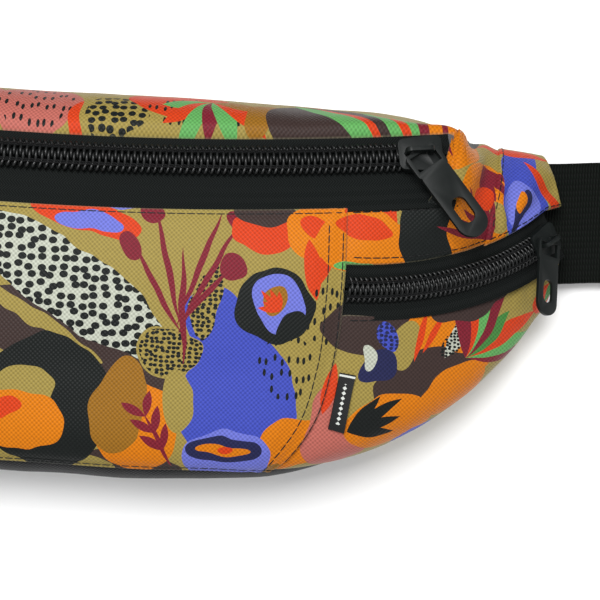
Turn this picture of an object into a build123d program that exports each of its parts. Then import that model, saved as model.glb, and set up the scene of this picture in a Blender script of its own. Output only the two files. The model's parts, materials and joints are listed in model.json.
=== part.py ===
from build123d import *

import os
from math import cos, degrees, radians, sin, sqrt

# Waist pack, lying on its back panel.
# +X runs to the pack's right, +Y to its top edge, +Z out of its front. Millimetres.
# The origin is the middle of the back panel's outer face.

os.makedirs("parts", exist_ok=True)

# ---- driving dimensions ------------------------------------------------------

HALF_WIDTH = 165.0          # middle of the pack to the belt seam
DEPTH = 57.0                # front panel above the back face, at the middle
END_DEPTH = 12.0            # thickness at the belt seam
FULLNESS = 3.8              # how long the front stays deep before it falls away
WALL = 2.0                  # shell fabric with its backing
LINING = 1.0
BACK_WALL = 3.0             # back panel with its spacer mesh
POCKET_END = 150.0          # beyond this the layers are sewn flat together

# half width -> lower edge and upper edge of the pack seen from the front
LOWER_EDGE = [(0, -59.5), (45, -59.2), (85, -54), (110, -44), (124, -35.5),
              (136, -26), (148, -13), (158, -1.5), (HALF_WIDTH, 6.2)]
UPPER_EDGE = [(0, 58.5), (45, 58.3), (85, 57.8), (110, 57), (124, 54.5),
              (136, 51.2), (148, 50.2), (158, 49.6), (HALF_WIDTH, 49.2)]

WEBBING_WIDTH = 40.0
WEBBING = 1.6
BELT_Y = 27.7               # middle of the belt seam
BELT_Z = 6.0
TAB_START = 152.0           # the webbing runs this far back into the belt seam
TAB_END = 171.7             # sewn tabs end here, and the swinging belt begins
BELT_START = 172.0
BEND_START = 180.0          # the belt leaves the pack straight to here, then turns back
FAR_SIDE_Y = 127.0          # webbing at the far side of the closed belt
FAR_SIDE_Z = 27.5

COIL_GAP = 0.65             # half the gap between the two coils, for the slider's post
MAIN_BAND = (-15.0, 7.5)    # across the zipper, from the coil's middle to the fabric
MAIN_ZIP_HALF = 124.0       # middle of the main zipper to the end of its tapes
MAIN_ZIP_MIDDLE = (36.2, 52.0)      # height and depth of the main zipper at the pack's middle
MAIN_SLIDER_REST = 113.0    # along the zipper from its middle, closed
BAND_SLOPE = (0.97, -0.24)  # the main zipper's band leans back towards the top edge
BAND_ENDS = (124.0, 136.0)  # the section keeps flat for the band up to the first width
SIDE_BAND = (-8.0, 8.0)
MAIN_SIZE = 1.0             # size 10 coil
SIDE_SIZE = 0.86            # size 8 coil
PULL_TURN = 60.0            # the main puller lies turned this far off its zipper's line
SIDE_PULL_TURN = -128.0     # the side pullers hang back down towards the bottom edge

BUCKLE_Y = FAR_SIDE_Y + 2.2
BUCKLE_HALF_HEIGHT = 27.0
BUCKLE_HALF_DEPTH = 6.5
MOUTH_X = 6.0               # the receiver's mouth
BAR_X = 34.0                # inner face of both webbing bars
BAR_LENGTH = 4.0
RAIL = WEBBING_WIDTH / 2 + 0.8


def save(piece, name):
    """Label a finished piece and write it to its own file."""
    piece.part.label = name
    export_step(piece.part, f"parts/{name}.step")


def both_sides(piece, name):
    """Write a right-hand piece and its mirror image."""
    save(piece, f"{name}_right")
    with BuildPart() as twin:
        mirror(piece.part, about=Plane.YZ)
    save(twin, f"{name}_left")


# ---- zipper tracks -----------------------------------------------------------

class Track:
    """A coil zipper's centre line: one arc in space, with the way its face looks."""

    def __init__(self, first, middle, last, facing):
        ends = [Vector(*first), Vector(*middle), Vector(*last)]
        arc = ThreePointArc(*ends)
        self.centre = arc.arc_center
        self.radius = arc.radius
        outward = (ends[1] - self.centre).normalized()
        self.normal = outward.cross(ends[2] - ends[0]).normalized()
        self.outward = outward
        self.along = self.normal.cross(outward)
        self.facing = Vector(*facing)
        self.start = self.angle_of(ends[0])
        self.end = self.angle_of(ends[2])
        self.axis = Axis(self.centre, self.normal)

    def angle_of(self, point):
        spoke = point - self.centre
        turn = spoke.get_angle(self.outward)
        return turn if spoke.dot(self.along) > 0 else -turn

    def turned(self, vector, angle):
        return vector.rotate(Axis((0, 0, 0), self.normal), angle)

    def point(self, angle):
        return self.centre + self.turned(self.outward, angle) * self.radius

    def frame(self, angle):
        """Plane on the track: x along it, y across it, z out of the pack."""
        tangent = self.turned(self.along, angle)
        across = self.facing.cross(self.along).normalized()
        face = self.along.cross(across)
        return Plane(self.point(angle), x_dir=tangent, z_dir=self.turned(face, angle))

    def degrees_for(self, length):
        return degrees(length / self.radius)


main_track = Track((-115, 43.5, 43.5), (0, *MAIN_ZIP_MIDDLE), (115, 43.5, 43.5), (0, 0.24, 0.97))
side_track = Track((94, 2, 50.9), (126, 6.7, 40.8), (156, 21.5, 20.5), (0.33, 0.05, 0.94))

main_zip_end = main_track.degrees_for(MAIN_ZIP_HALF)
side_zip_start = side_track.start
side_zip_end = side_track.end + side_track.degrees_for(7)


def zip_strip(track, across, out, start, end):
    """A strip that follows a zipper: across and out are ranges from its centre line."""
    frame = track.frame(start)
    section = Plane(frame.origin, x_dir=frame.y_dir, z_dir=frame.x_dir)
    with BuildPart() as strip:
        with BuildSketch(section):
            with Locations(((across[0] + across[1]) / 2, (out[0] + out[1]) / 2)):
                Rectangle(across[1] - across[0], out[1] - out[0])
        revolve(axis=track.axis, revolution_arc=end - start)
    return strip


# ---- shell -------------------------------------------------------------------

def at_width(table, x):
    """Read a table of (half width, value) with straight steps between its rows."""
    x = abs(x)
    for (x0, v0), (x1, v1) in zip(table, table[1:]):
        if x <= x1:
            return v0 + (v1 - v0) * (x - x0) / (x1 - x0)
    return table[-1][1]


def front_height(x):
    return DEPTH - (DEPTH - END_DEPTH) * (abs(x) / HALF_WIDTH) ** FULLNESS


def outline(x, inset, base):
    """Points of a section, from the back's lower corner over the front to its upper one."""
    low, high = at_width(LOWER_EDGE, x) + inset, at_width(UPPER_EDGE, x) - inset
    tall = high - low
    front = front_height(x) - inset
    drop = main_track.radius - sqrt(main_track.radius ** 2 - x ** 2)
    zip_y = MAIN_ZIP_MIDDLE[0] - drop * main_track.outward.Y
    zip_z = MAIN_ZIP_MIDDLE[1] - drop * main_track.outward.Z - inset
    zipped = min(max((BAND_ENDS[1] - abs(x)) / (BAND_ENDS[1] - BAND_ENDS[0]), 0), 1)
    band_low = (zip_y + MAIN_BAND[0] * BAND_SLOPE[0], zip_z + MAIN_BAND[0] * BAND_SLOPE[1])
    band_high = (zip_y + MAIN_BAND[1] * BAND_SLOPE[0], zip_z + MAIN_BAND[1] * BAND_SLOPE[1])
    plain_low = (low + 0.72 * tall, 0.97 * front)
    plain_high = (low + 0.86 * tall, 0.87 * front)
    mixed = [(a[0] * zipped + b[0] * (1 - zipped), a[1] * zipped + b[1] * (1 - zipped))
             for a, b in ((band_low, plain_low), (band_high, plain_high))]
    return [(low + 2.5, base),
            (low, base + 0.5 * (front - base)),
            (low + 0.03 * tall, 0.84 * front),
            (low + 0.33 * tall, 0.985 * front),
            (low + 0.55 * tall, front),
            mixed[0],
            mixed[1],
            (high - 0.03 * tall, base + 0.66 * (front - base)),
            (high, base + 0.4 * (front - base)),
            (high - 4, base)]


def pack_form(inset, base, end):
    """The pack's closed outer form, drawn in by inset and cut off at end."""
    stations = [x * end / HALF_WIDTH for x, _ in LOWER_EDGE]
    with BuildPart() as form:
        for x in [-x for x in reversed(stations[1:])] + stations:
            points = outline(x, inset, base)
            with BuildSketch(Plane.YZ.offset(x)):
                with BuildLine():
                    Spline(*points)
                    Line(points[-1], points[0])
                make_face()
        loft()
    return form.part


outer = pack_form(0, 0, HALF_WIDTH)
inner = pack_form(WALL, BACK_WALL, POCKET_END)
pouch = pack_form(WALL + LINING, BACK_WALL + LINING, POCKET_END - LINING)
label_skin = pack_form(-0.8, 0, HALF_WIDTH)

main_slot = zip_strip(main_track, MAIN_BAND, (-6, 8), -main_zip_end, main_zip_end).part
side_slot = zip_strip(side_track, SIDE_BAND, (-6, 8), side_zip_start, side_zip_end).part
side_slot_left = mirror(side_slot, about=Plane.YZ)
tab_box = Box(TAB_END - TAB_START, WEBBING_WIDTH, WEBBING).moved(
    Location(((TAB_END + TAB_START) / 2, BELT_Y, BELT_Z)))

# Seams seen from the front. The centre panel's side seam curves in towards the bottom.
SIDE_SEAM = [(92.2, 60), (92.6, 27), (93, -1), (91.6, -22), (86.5, -40), (76.5, -54), (68, -64)]
TOP_PANEL_END = 131.0
GUSSET_HALF_WIDTH = 104.0
GUSSET_HEIGHT = 45.0


def seam_edge():
    return [Vector(x, y) for x, y in SIDE_SEAM]


with BuildPart() as above_zip:
    with BuildSketch(Plane.XY.offset(BACK_WALL)):
        with BuildLine():
            zip_line = [main_track.point(main_zip_end * step / 3) for step in range(-3, 4)]
            Spline(*[Vector(p.X, p.Y) for p in zip_line])
            Polyline((zip_line[-1].X, zip_line[-1].Y), (TOP_PANEL_END, zip_line[-1].Y),
                     (TOP_PANEL_END, 80), (-TOP_PANEL_END, 80),
                     (-TOP_PANEL_END, zip_line[0].Y), (zip_line[0].X, zip_line[0].Y))
        make_face()
    extrude(amount=DEPTH + 10)

with BuildPart() as between_seams:
    with BuildSketch(Plane.XY.offset(BACK_WALL)):
        with BuildLine():
            right = Spline(*seam_edge())
            left = Spline(*[Vector(-x, y) for x, y in SIDE_SEAM])
            Line(right @ 0, left @ 0)
            Line(right @ 1, left @ 1)
        make_face()
    extrude(amount=DEPTH + 10)

with BuildPart() as gusset_zone:
    with BuildSketch(Plane.XZ.offset(30)):
        with BuildLine():
            crown = Spline((-GUSSET_HALF_WIDTH, BACK_WALL), (-70, 0.86 * GUSSET_HEIGHT),
                           (0, GUSSET_HEIGHT), (70, 0.86 * GUSSET_HEIGHT),
                           (GUSSET_HALF_WIDTH, BACK_WALL))
            Line(crown @ 1, crown @ 0)
        make_face()
    extrude(amount=50)

with BuildPart() as above_side_zip:
    with BuildSketch(Plane.XY.offset(BACK_WALL)):
        with BuildLine():
            side_line = [side_track.point(side_zip_start + (side_zip_end - side_zip_start) * step / 3)
                         for step in range(4)]
            Spline(*[Vector(p.X, p.Y) for p in side_line])
            Polyline((side_line[-1].X, side_line[-1].Y), (HALF_WIDTH + 5, side_line[-1].Y + 2),
                     (HALF_WIDTH + 5, 80), (60, 80), (60, side_line[0].Y),
                     (side_line[0].X, side_line[0].Y))
        make_face()
    extrude(amount=DEPTH + 10)

with BuildPart() as front_layers:
    add(outer)
    split(bisect_by=Plane.XY.offset(BACK_WALL), keep=Keep.TOP)
    add(inner, mode=Mode.SUBTRACT)
    add(main_slot, mode=Mode.SUBTRACT)
    add(side_slot, mode=Mode.SUBTRACT)
    add(side_slot_left, mode=Mode.SUBTRACT)

with BuildPart() as bottom_layer:
    add(outer)
    split(bisect_by=Plane.XY.offset(BACK_WALL), keep=Keep.BOTTOM)
back_outline = bottom_layer.faces().filter_by(GeomType.PLANE).filter_by(Axis.Z)[0]

with BuildPart() as back_panel:
    extrude(back_outline, amount=BACK_WALL, dir=(0, 0, -1))
save(back_panel, "back_panel")

with BuildPart() as top_panel:
    add(front_layers.part)
    add(above_zip.part, mode=Mode.INTERSECT)
save(top_panel, "top_panel")

with BuildPart() as bottom_gusset:
    add(front_layers.part)
    add(gusset_zone.part, mode=Mode.INTERSECT)
save(bottom_gusset, "bottom_gusset")

with BuildPart() as front_centre_panel:
    add(front_layers.part)
    add(between_seams.part, mode=Mode.INTERSECT)
    add(above_zip.part, mode=Mode.SUBTRACT)
    add(gusset_zone.part, mode=Mode.SUBTRACT)
save(front_centre_panel, "front_centre_panel")

with BuildPart() as right_side_layers:
    add(front_layers.part)
    split(bisect_by=Plane.YZ, keep=Keep.TOP)
    add(between_seams.part, mode=Mode.SUBTRACT)
    add(above_zip.part, mode=Mode.SUBTRACT)
    add(gusset_zone.part, mode=Mode.SUBTRACT)
    add(tab_box, mode=Mode.SUBTRACT)

with BuildPart() as side_panel_upper:
    add(right_side_layers.part)
    add(above_side_zip.part, mode=Mode.INTERSECT)
both_sides(side_panel_upper, "side_panel_upper")

with BuildPart() as side_panel_lower:
    add(right_side_layers.part)
    add(above_side_zip.part, mode=Mode.SUBTRACT)
both_sides(side_panel_lower, "side_panel_lower")

# ---- inside ------------------------------------------------------------------

# The divider slopes from below the main zipper to the lower front seam.
divider_plane = Plane((0, 20, 46), x_dir=(1, 0, 0), z_dir=(0, -0.2, 0.98))

with BuildPart() as main_lining:
    add(inner)
    add(pouch, mode=Mode.SUBTRACT)
    split(bisect_by=divider_plane, keep=Keep.BOTTOM)
    add(main_slot, mode=Mode.SUBTRACT)
    add(side_slot, mode=Mode.SUBTRACT)
    add(side_slot_left, mode=Mode.SUBTRACT)
save(main_lining, "main_lining")

with BuildPart() as pocket_divider:
    add(inner)
    split(bisect_by=divider_plane, keep=Keep.TOP)
    split(bisect_by=divider_plane.offset(LINING), keep=Keep.BOTTOM)
    add(main_slot, mode=Mode.SUBTRACT)
    add(side_slot, mode=Mode.SUBTRACT)
    add(side_slot_left, mode=Mode.SUBTRACT)
save(pocket_divider, "pocket_divider")

# ---- zippers -----------------------------------------------------------------

SLIDER_LENGTH = 15.0        # at size 1, like the other numbers for a slider and its puller
SLIDER_ROOM = 8.0           # coil that a slider needs on each side of its middle
SLIDER_HALF_WIDTH = 6.2
PULLER_HEIGHT = 5.7         # above the zipper's line
PULLER_WIDTH = 10.8
PULLER_THICKNESS = 1.4


def zipper_parts(track, band, size, start, end, slider_start, slider_end):
    """Two tapes, two coils and the end stops, which stand clear of the slider's travel."""
    half_slider = track.degrees_for(SLIDER_ROOM * size)
    coil_start, coil_end = slider_start - half_slider, slider_end + half_slider
    tape = (-0.5 * size, 0.5 * size)
    coil = (0.5 * size, 2.6 * size)
    coil_edge = 4.6 * size
    stop = track.degrees_for(2.0)
    with BuildPart() as stops:
        add(zip_strip(track, (-coil_edge, coil_edge), coil, coil_start - stop, coil_start).part)
        add(zip_strip(track, (COIL_GAP, coil_edge), coil, coil_end, coil_end + stop).part)
        add(zip_strip(track, (-coil_edge, -COIL_GAP), coil, coil_end, coil_end + stop).part)
    return {
        "tape_lower": zip_strip(track, (band[0], -COIL_GAP), tape, start, end),
        "tape_upper": zip_strip(track, (COIL_GAP, band[1]), tape, start, end),
        "coil_lower": zip_strip(track, (-coil_edge, -COIL_GAP), coil, coil_start, coil_end),
        "coil_upper": zip_strip(track, (COIL_GAP, coil_edge), coil, coil_start, coil_end),
        "stops": stops,
    }


def slider_body(track, angle, size):
    """Two plates joined by a post, rims along the coils, and a bail on top."""
    frame = track.frame(angle)
    length, half = SLIDER_LENGTH * size, SLIDER_HALF_WIDTH * size
    with BuildPart() as slider:
        with BuildSketch(frame.offset(3.0 * size)):
            RectangleRounded(length, 2 * half, 2.2 * size)
        extrude(amount=1.1 * size)
        with BuildSketch(frame.offset(-2.3 * size)):
            RectangleRounded(length, 2 * half, 2.2 * size)
        extrude(amount=1.1 * size)
        with BuildSketch(frame.offset(0.95 * size)):
            with Locations((0, half - 0.55 * size), (0, -half + 0.55 * size)):
                Rectangle(length - 5 * size, 1.1 * size)
        extrude(amount=2.1 * size)
        with BuildSketch(frame.offset(-1.3 * size)):
            with Locations((4.8 * size, 0)):
                Rectangle(3 * size, 0.6 * size)
        extrude(amount=4.4 * size)
        with BuildSketch(Plane(frame.origin, x_dir=frame.x_dir, z_dir=frame.y_dir * -1)):
            with Locations((0, 6.4 * size)):
                RectangleRounded(8.6 * size, 4.9 * size, 1.6 * size)
            with Locations((0, PULLER_HEIGHT * size)):
                RectangleRounded(6.2 * size, 3.4 * size, 0.9 * size, mode=Mode.SUBTRACT)
        extrude(amount=0.7 * size, both=True)
    return slider


def pull_frame(track, angle, size, turn):
    """Plane of a puller: x along it from the bail, z out of the pack."""
    frame = track.frame(angle)
    way = frame.x_dir.rotate(Axis((0, 0, 0), frame.z_dir), turn)
    return Plane(frame.origin + frame.z_dir * PULLER_HEIGHT * size, x_dir=way, z_dir=frame.z_dir)


def puller(track, angle, size, turn, length):
    """A flat tab with a square eye round the bail and an oval hole at its end."""
    plane = pull_frame(track, angle, size, turn)
    width, thick = PULLER_WIDTH * size, PULLER_THICKNESS * size
    with BuildPart() as tab:
        with BuildSketch(plane.offset(-thick / 2)):
            with Locations((3.7 * size, 0)):
                RectangleRounded(8.6 * size, width, 1.6 * size)
            with Locations((length / 2 + 2 * size, 0)):
                SlotOverall(length - 4 * size, width * 0.92)
            with Locations((3.1 * size, 0)):
                Rectangle(5 * size, 8.4 * size, mode=Mode.SUBTRACT)
            with Locations((length - 9 * size, 0)):
                SlotOverall(8.6 * size, 4.8 * size, mode=Mode.SUBTRACT)
        extrude(amount=thick)
    return tab


main_slider_angle = main_track.degrees_for(MAIN_SLIDER_REST)
for name, strip in zipper_parts(main_track, MAIN_BAND, MAIN_SIZE, -main_zip_end, main_zip_end,
                                -main_slider_angle, main_slider_angle).items():
    save(strip, f"main_zip_{name}")
save(slider_body(main_track, main_slider_angle, MAIN_SIZE), "main_slider")
save(puller(main_track, main_slider_angle, MAIN_SIZE, -PULL_TURN, 31), "main_puller")

side_slider_start = side_zip_start + side_track.degrees_for(12)
side_slider_end = side_track.end - side_track.degrees_for(2.2)
for name, strip in zipper_parts(side_track, SIDE_BAND, SIDE_SIZE, side_zip_start, side_zip_end,
                                side_slider_start, side_slider_end).items():
    both_sides(strip, f"side_zip_{name}")
both_sides(slider_body(side_track, side_slider_end, SIDE_SIZE), "side_slider")
both_sides(puller(side_track, side_slider_end, SIDE_SIZE, SIDE_PULL_TURN, 24), "side_puller")

# ---- woven label -------------------------------------------------------------

with BuildPart() as label_tag:
    with BuildSketch(Plane.XY.offset(BACK_WALL)):
        with BuildLine():
            Polyline((93.2, -22.6), (97.4, -23.4), (94.8, -40), (90.6, -39.4), close=True)
        make_face()
    extrude(amount=DEPTH)
    add(label_skin, mode=Mode.INTERSECT)
    add(outer, mode=Mode.SUBTRACT)
save(label_tag, "label_tag")

# ---- belt --------------------------------------------------------------------

with BuildPart() as belt_tab:
    add(tab_box)
both_sides(belt_tab, "belt_tab")

BEND_RADIUS = (FAR_SIDE_Y - BELT_Y) / 2


def belt_section(turn):
    """Plane across the belt after it has turned this far round its bend, width along x."""
    way = Vector(cos(radians(turn)), sin(radians(turn)), 0)
    inwards = Vector(-way.Y, way.X, 0)
    twist = radians(min(turn, 90))
    place = Vector(BEND_START + BEND_RADIUS * way.Y,
                   BELT_Y + BEND_RADIUS * (1 - way.X),
                   BELT_Z + (FAR_SIDE_Z - BELT_Z) * sin(twist))
    width_way = inwards * cos(twist) + Vector(0, 0, sin(twist))
    return Plane(place, x_dir=width_way, z_dir=way)


with BuildPart() as belt_strap:
    first, last = belt_section(0), belt_section(180)
    sections = [first.offset(BELT_START - BEND_START)]
    sections += [belt_section(turn) for turn in range(0, 181, 15)]
    sections += [last.offset(BEND_START - BAR_X)]
    for section in sections:
        with BuildSketch(section):
            Rectangle(WEBBING_WIDTH, WEBBING)
    loft(ruled=True)
both_sides(belt_strap, "belt_strap")


def webbing_return(end_x):
    """Webbing folded round the buckle's bar and back over itself."""
    with BuildPart() as fold:
        with BuildSketch(Plane.XY.offset(FAR_SIDE_Z - WEBBING_WIDTH / 2)):
            with BuildLine():
                turn = CenterArc((BAR_X, BUCKLE_Y), 2.2, 90, 180)
                Line((end_x, BUCKLE_Y + 2.2), turn @ 0)
            trace(line_width=WEBBING)
            with Locations((BAR_X + 5, BUCKLE_Y - 5)):
                Rectangle(10, 10 - WEBBING, mode=Mode.SUBTRACT)
        extrude(amount=WEBBING_WIDTH)
    return fold


with BuildPart() as belt_return:
    mirror(webbing_return(76).part, about=Plane.YZ)
save(belt_return, "belt_return")
save(webbing_return(142), "belt_tail")

buckle_plane = Plane((0, BUCKLE_Y, FAR_SIDE_Z), x_dir=(1, 0, 0), z_dir=(0, -1, 0))
FRAME_HALF_DEPTH = 3.0
SLOT_INNER = BAR_X - 6.5


def webbing_frame():
    """The open frame behind a buckle half, with the bar that the webbing goes round."""
    with BuildPart() as frame:
        with BuildSketch(buckle_plane):
            with Locations(((SLOT_INNER + BAR_X + BAR_LENGTH) / 2, 0)):
                Rectangle(BAR_X + BAR_LENGTH - SLOT_INNER, 2 * BUCKLE_HALF_HEIGHT - 3)
            with Locations(((SLOT_INNER + BAR_X + BAR_LENGTH) / 2, 0)):
                Rectangle(BAR_X + BAR_LENGTH - SLOT_INNER, 2 * RAIL, mode=Mode.SUBTRACT)
        extrude(amount=FRAME_HALF_DEPTH, both=True)
        with BuildSketch(buckle_plane):
            with Locations((BAR_X + BAR_LENGTH / 2, 0)):
                Rectangle(BAR_LENGTH, 2 * RAIL + 1)
        extrude(amount=1.1, both=True)
    return frame.part


CAVITY = (23.0, 22.5, 4.0)      # the receiver's room for the prongs: length, half height, half depth
WINDOW = (-20.4, -3.6)          # side windows, where the prongs' pads show

with BuildPart() as buckle_receiver:
    with BuildSketch(buckle_plane):
        with Locations(((MOUTH_X - SLOT_INNER) / 2, 0)):
            RectangleRounded(MOUTH_X + SLOT_INNER, 2 * BUCKLE_HALF_HEIGHT, 4)
    extrude(amount=BUCKLE_HALF_DEPTH, both=True)
    fillet(buckle_receiver.faces().filter_by(Axis.Y).edges(), 1.2)
    with BuildSketch(buckle_plane):
        with Locations(((MOUTH_X + 1 - CAVITY[0]) / 2, 0)):
            Rectangle(MOUTH_X + 1 + CAVITY[0], 2 * CAVITY[1])
        with Locations(((WINDOW[0] + WINDOW[1]) / 2, 0)):
            Rectangle(WINDOW[1] - WINDOW[0], 2 * BUCKLE_HALF_HEIGHT + 2)
    extrude(amount=CAVITY[2], both=True, mode=Mode.SUBTRACT)
    mirror(webbing_frame(), about=Plane.YZ)
save(buckle_receiver, "buckle_receiver")

PRONG_ROOT = MOUTH_X + 0.4

with BuildPart() as buckle_prongs:
    with BuildSketch(buckle_plane):
        with Locations(((PRONG_ROOT + SLOT_INNER) / 2, 0)):
            RectangleRounded(SLOT_INNER - PRONG_ROOT, 2 * BUCKLE_HALF_HEIGHT - 2, 3)
    extrude(amount=BUCKLE_HALF_DEPTH - 0.5, both=True)
    fillet(buckle_prongs.faces().filter_by(Axis.Y).edges(), 1.2)
    with BuildSketch(buckle_plane):
        with Locations(((PRONG_ROOT + 1 - 16) / 2, 0)):
            Rectangle(PRONG_ROOT + 1 + 16, 7)
    extrude(amount=3, both=True)
    add(webbing_frame())
save(buckle_prongs, "buckle_prongs")

ARM_PIVOT = (4.2, 14.0)
ARM_ROOT = 2.0

with BuildPart() as buckle_arm:
    with BuildSketch(buckle_plane):
        with BuildLine():
            Polyline((4.2, 12), (4.2, 16), (-2.6, 17.6), (-4.4, 25.8), (-8.5, 26.6), (-14, 26),
                     (-19.4, 23.4), (-19.4, 18), (-8, 13.6), close=True)
        make_face()
        with Locations(ARM_PIVOT):
            Circle(ARM_ROOT)
    extrude(amount=3.4, both=True)
save(buckle_arm, "buckle_arm_upper")
with BuildPart() as buckle_arm_lower:
    mirror(buckle_arm.part, about=Plane.XY.offset(FAR_SIDE_Z))
save(buckle_arm_lower, "buckle_arm_lower")

KEEPER_X = 112.0
KEEPER_WALL = 1.2
KEEPER_CLEARANCE = 0.4

with BuildPart() as strap_keeper:
    tall = WEBBING_WIDTH + 2 * KEEPER_CLEARANCE
    deep = 4.4 + WEBBING + 2 * KEEPER_CLEARANCE
    with BuildSketch(Plane((KEEPER_X, BUCKLE_Y, FAR_SIDE_Z), x_dir=(0, 1, 0), z_dir=(1, 0, 0))):
        RectangleRounded(deep + 2 * KEEPER_WALL, tall + 2 * KEEPER_WALL, 1.5)
        Rectangle(deep, tall, mode=Mode.SUBTRACT)
    extrude(amount=6, both=True)
save(strap_keeper, "strap_keeper")

for name, track, angle, size, turn in (
        ("main", main_track, main_slider_angle, MAIN_SIZE, -PULL_TURN),
        ("side", side_track, side_slider_end, SIDE_SIZE, SIDE_PULL_TURN)):
    hinge = pull_frame(track, angle, size, turn)
    print(name, "zip axis", track.centre, track.normal, "radius", track.radius,
          "travel", angle - (-main_slider_angle if name == "main" else side_slider_start))
    print(name, "puller hinge", hinge.origin, hinge.y_dir * -1)
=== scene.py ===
import json
from math import atan2, cos, degrees, pi, radians, sin

import bmesh
import bpy
import numpy as np
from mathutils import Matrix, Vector, noise
from mathutils.bvhtree import BVHTree


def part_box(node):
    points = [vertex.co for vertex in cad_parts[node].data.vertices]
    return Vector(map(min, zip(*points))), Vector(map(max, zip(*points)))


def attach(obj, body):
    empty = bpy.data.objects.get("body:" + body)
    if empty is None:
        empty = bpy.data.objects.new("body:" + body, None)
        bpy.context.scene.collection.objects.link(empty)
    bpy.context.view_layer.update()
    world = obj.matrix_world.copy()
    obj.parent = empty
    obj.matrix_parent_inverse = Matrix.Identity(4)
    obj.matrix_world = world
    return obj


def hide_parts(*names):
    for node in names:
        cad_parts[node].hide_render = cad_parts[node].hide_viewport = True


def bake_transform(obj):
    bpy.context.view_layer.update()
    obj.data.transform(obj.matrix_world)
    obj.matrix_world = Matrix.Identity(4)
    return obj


# A waist pack lying on its back: printed shell panels, coil zippers, stitching, webbing belt.
# Lengths are in millimetres until a mesh is made, which MM turns to metres.

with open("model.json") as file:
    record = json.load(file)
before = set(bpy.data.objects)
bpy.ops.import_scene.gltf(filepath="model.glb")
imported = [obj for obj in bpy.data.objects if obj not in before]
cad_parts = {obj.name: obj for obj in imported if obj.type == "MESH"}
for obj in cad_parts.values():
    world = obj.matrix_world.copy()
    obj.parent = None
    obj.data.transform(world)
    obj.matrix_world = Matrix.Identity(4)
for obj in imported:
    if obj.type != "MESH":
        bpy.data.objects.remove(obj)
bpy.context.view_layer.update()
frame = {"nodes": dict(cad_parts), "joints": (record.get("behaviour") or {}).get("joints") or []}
MM = 0.001
bpy.ops.object.select_all(action="DESELECT")
scene = bpy.context.scene
joints = {joint["name"]: joint for joint in frame["joints"]}


def hex_colour(code):
    """sRGB hex to Blender's linear colour."""
    parts = [int(code[i:i + 2], 16) / 255 for i in (0, 2, 4)]
    return [p / 12.92 if p <= 0.04045 else ((p + 0.055) / 1.055) ** 2.4 for p in parts] + [1.0]


# ---- camera, floor and light ---------------------------------------------------

CAMERA_AT = (0.0800, -0.0020, 0.4500)
CAMERA_TURN = radians(3.5)


def place_camera():
    bpy.ops.object.camera_add(location=CAMERA_AT, rotation=(0, 0, CAMERA_TURN))
    camera = bpy.context.object
    camera.data.lens = 80.4
    camera.data.sensor_width = 36
    camera.data.clip_start = 0.01
    scene.camera = camera


def lay_floor():
    bpy.ops.mesh.primitive_plane_add(size=6, location=(0, 0, -0.0006))
    floor = bpy.context.object
    floor.name = "floor"
    floor.data.materials.append(make_material("matt white board", painted_board))


def hang_lights():
    for name, at, aim, size, power in (
            ("key", (-0.12, 0.43, 1.20), (0.06, 0.0, 0.02), 0.6, 20.0),
            ("fill", (-0.65, -0.35, 1.1), (0.05, 0.0, 0.0), 1.1, 1.2),
            ("side", (0.95, -0.25, 0.9), (0.10, -0.1, 0.0), 0.9, 2.0)):
        bpy.ops.object.light_add(type="AREA", location=at)
        lamp = bpy.context.object
        lamp.name = name
        lamp.data.size = size
        lamp.data.energy = power
        lamp.rotation_euler = (Vector(aim) - Vector(at)).to_track_quat("-Z", "Y").to_euler()
    world = bpy.data.worlds.new("studio")
    world.use_nodes = True
    sky = world.node_tree.nodes["Background"].inputs
    sky["Color"].default_value = (1, 1, 1, 1)
    sky["Strength"].default_value = 0.52
    scene.world = world
    scene.view_settings.view_transform = "Standard"
    scene.view_settings.look = "None"


# ---- materials -------------------------------------------------------------------

CLOTH_SPAN = 800.0      # millimetres of cloth that a piece's map covers from 0 to 1
PRINT_FOLD = 14.0       # the print is mirrored about this far left of the pack's middle


def add(tree, kind, inputs=(), out=0, **settings):
    """Add a node with its settings and its inputs, by number or name, and give one of its outputs.
    An input is a socket to link, a hex colour or a plain value."""
    made = tree.nodes.new(kind if kind.startswith("NodeGroup") else "ShaderNode" + kind)
    for key, value in settings.items():
        setattr(made, key, value)
    for socket, source in inputs.items() if isinstance(inputs, dict) else enumerate(inputs):
        if isinstance(source, bpy.types.NodeSocket):
            tree.links.new(source, made.inputs[socket])
        else:
            made.inputs[socket].default_value = hex_colour(source) if isinstance(source, str) else source
    return made.outputs[out] if made.outputs else made


def make_material(name, finish, *details):
    """A material with one Principled shader, whose inputs come from a finish."""
    material = bpy.data.materials.new(name)
    material.use_nodes = True
    tree = material.node_tree
    tree.nodes.clear()
    add(tree, "OutputMaterial", [add(tree, "BsdfPrincipled", {"IOR": 1.5, **finish(tree, *details)})])
    return material


def raised(tree, tone, low, high, height, rise, strength):
    """Shader inputs for a pattern: tone runs from colour low to high, height stands rise metres proud."""
    return {"Base Color": add(tree, "Mix", {0: tone, 6: low, 7: high}, 2, data_type="RGBA"),
            "Normal": add(tree, "Bump", {"Height": height, "Distance": rise, "Strength": strength})}


def cloth_place(tree):
    """The piece's own map, in millimetres of cloth."""
    return add(tree, "VectorMath", [add(tree, "UVMap", uv_map="cloth"), (CLOTH_SPAN,) * 3,
                                    (-CLOTH_SPAN / 2,) * 3], operation="MULTIPLY_ADD")


def wave(tree, value, pitch):
    """A sine that repeats every pitch millimetres."""
    turned = add(tree, "Math", [value, 2 * pi / pitch], operation="MULTIPLY")
    return add(tree, "Math", [turned], operation="SINE")


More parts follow.
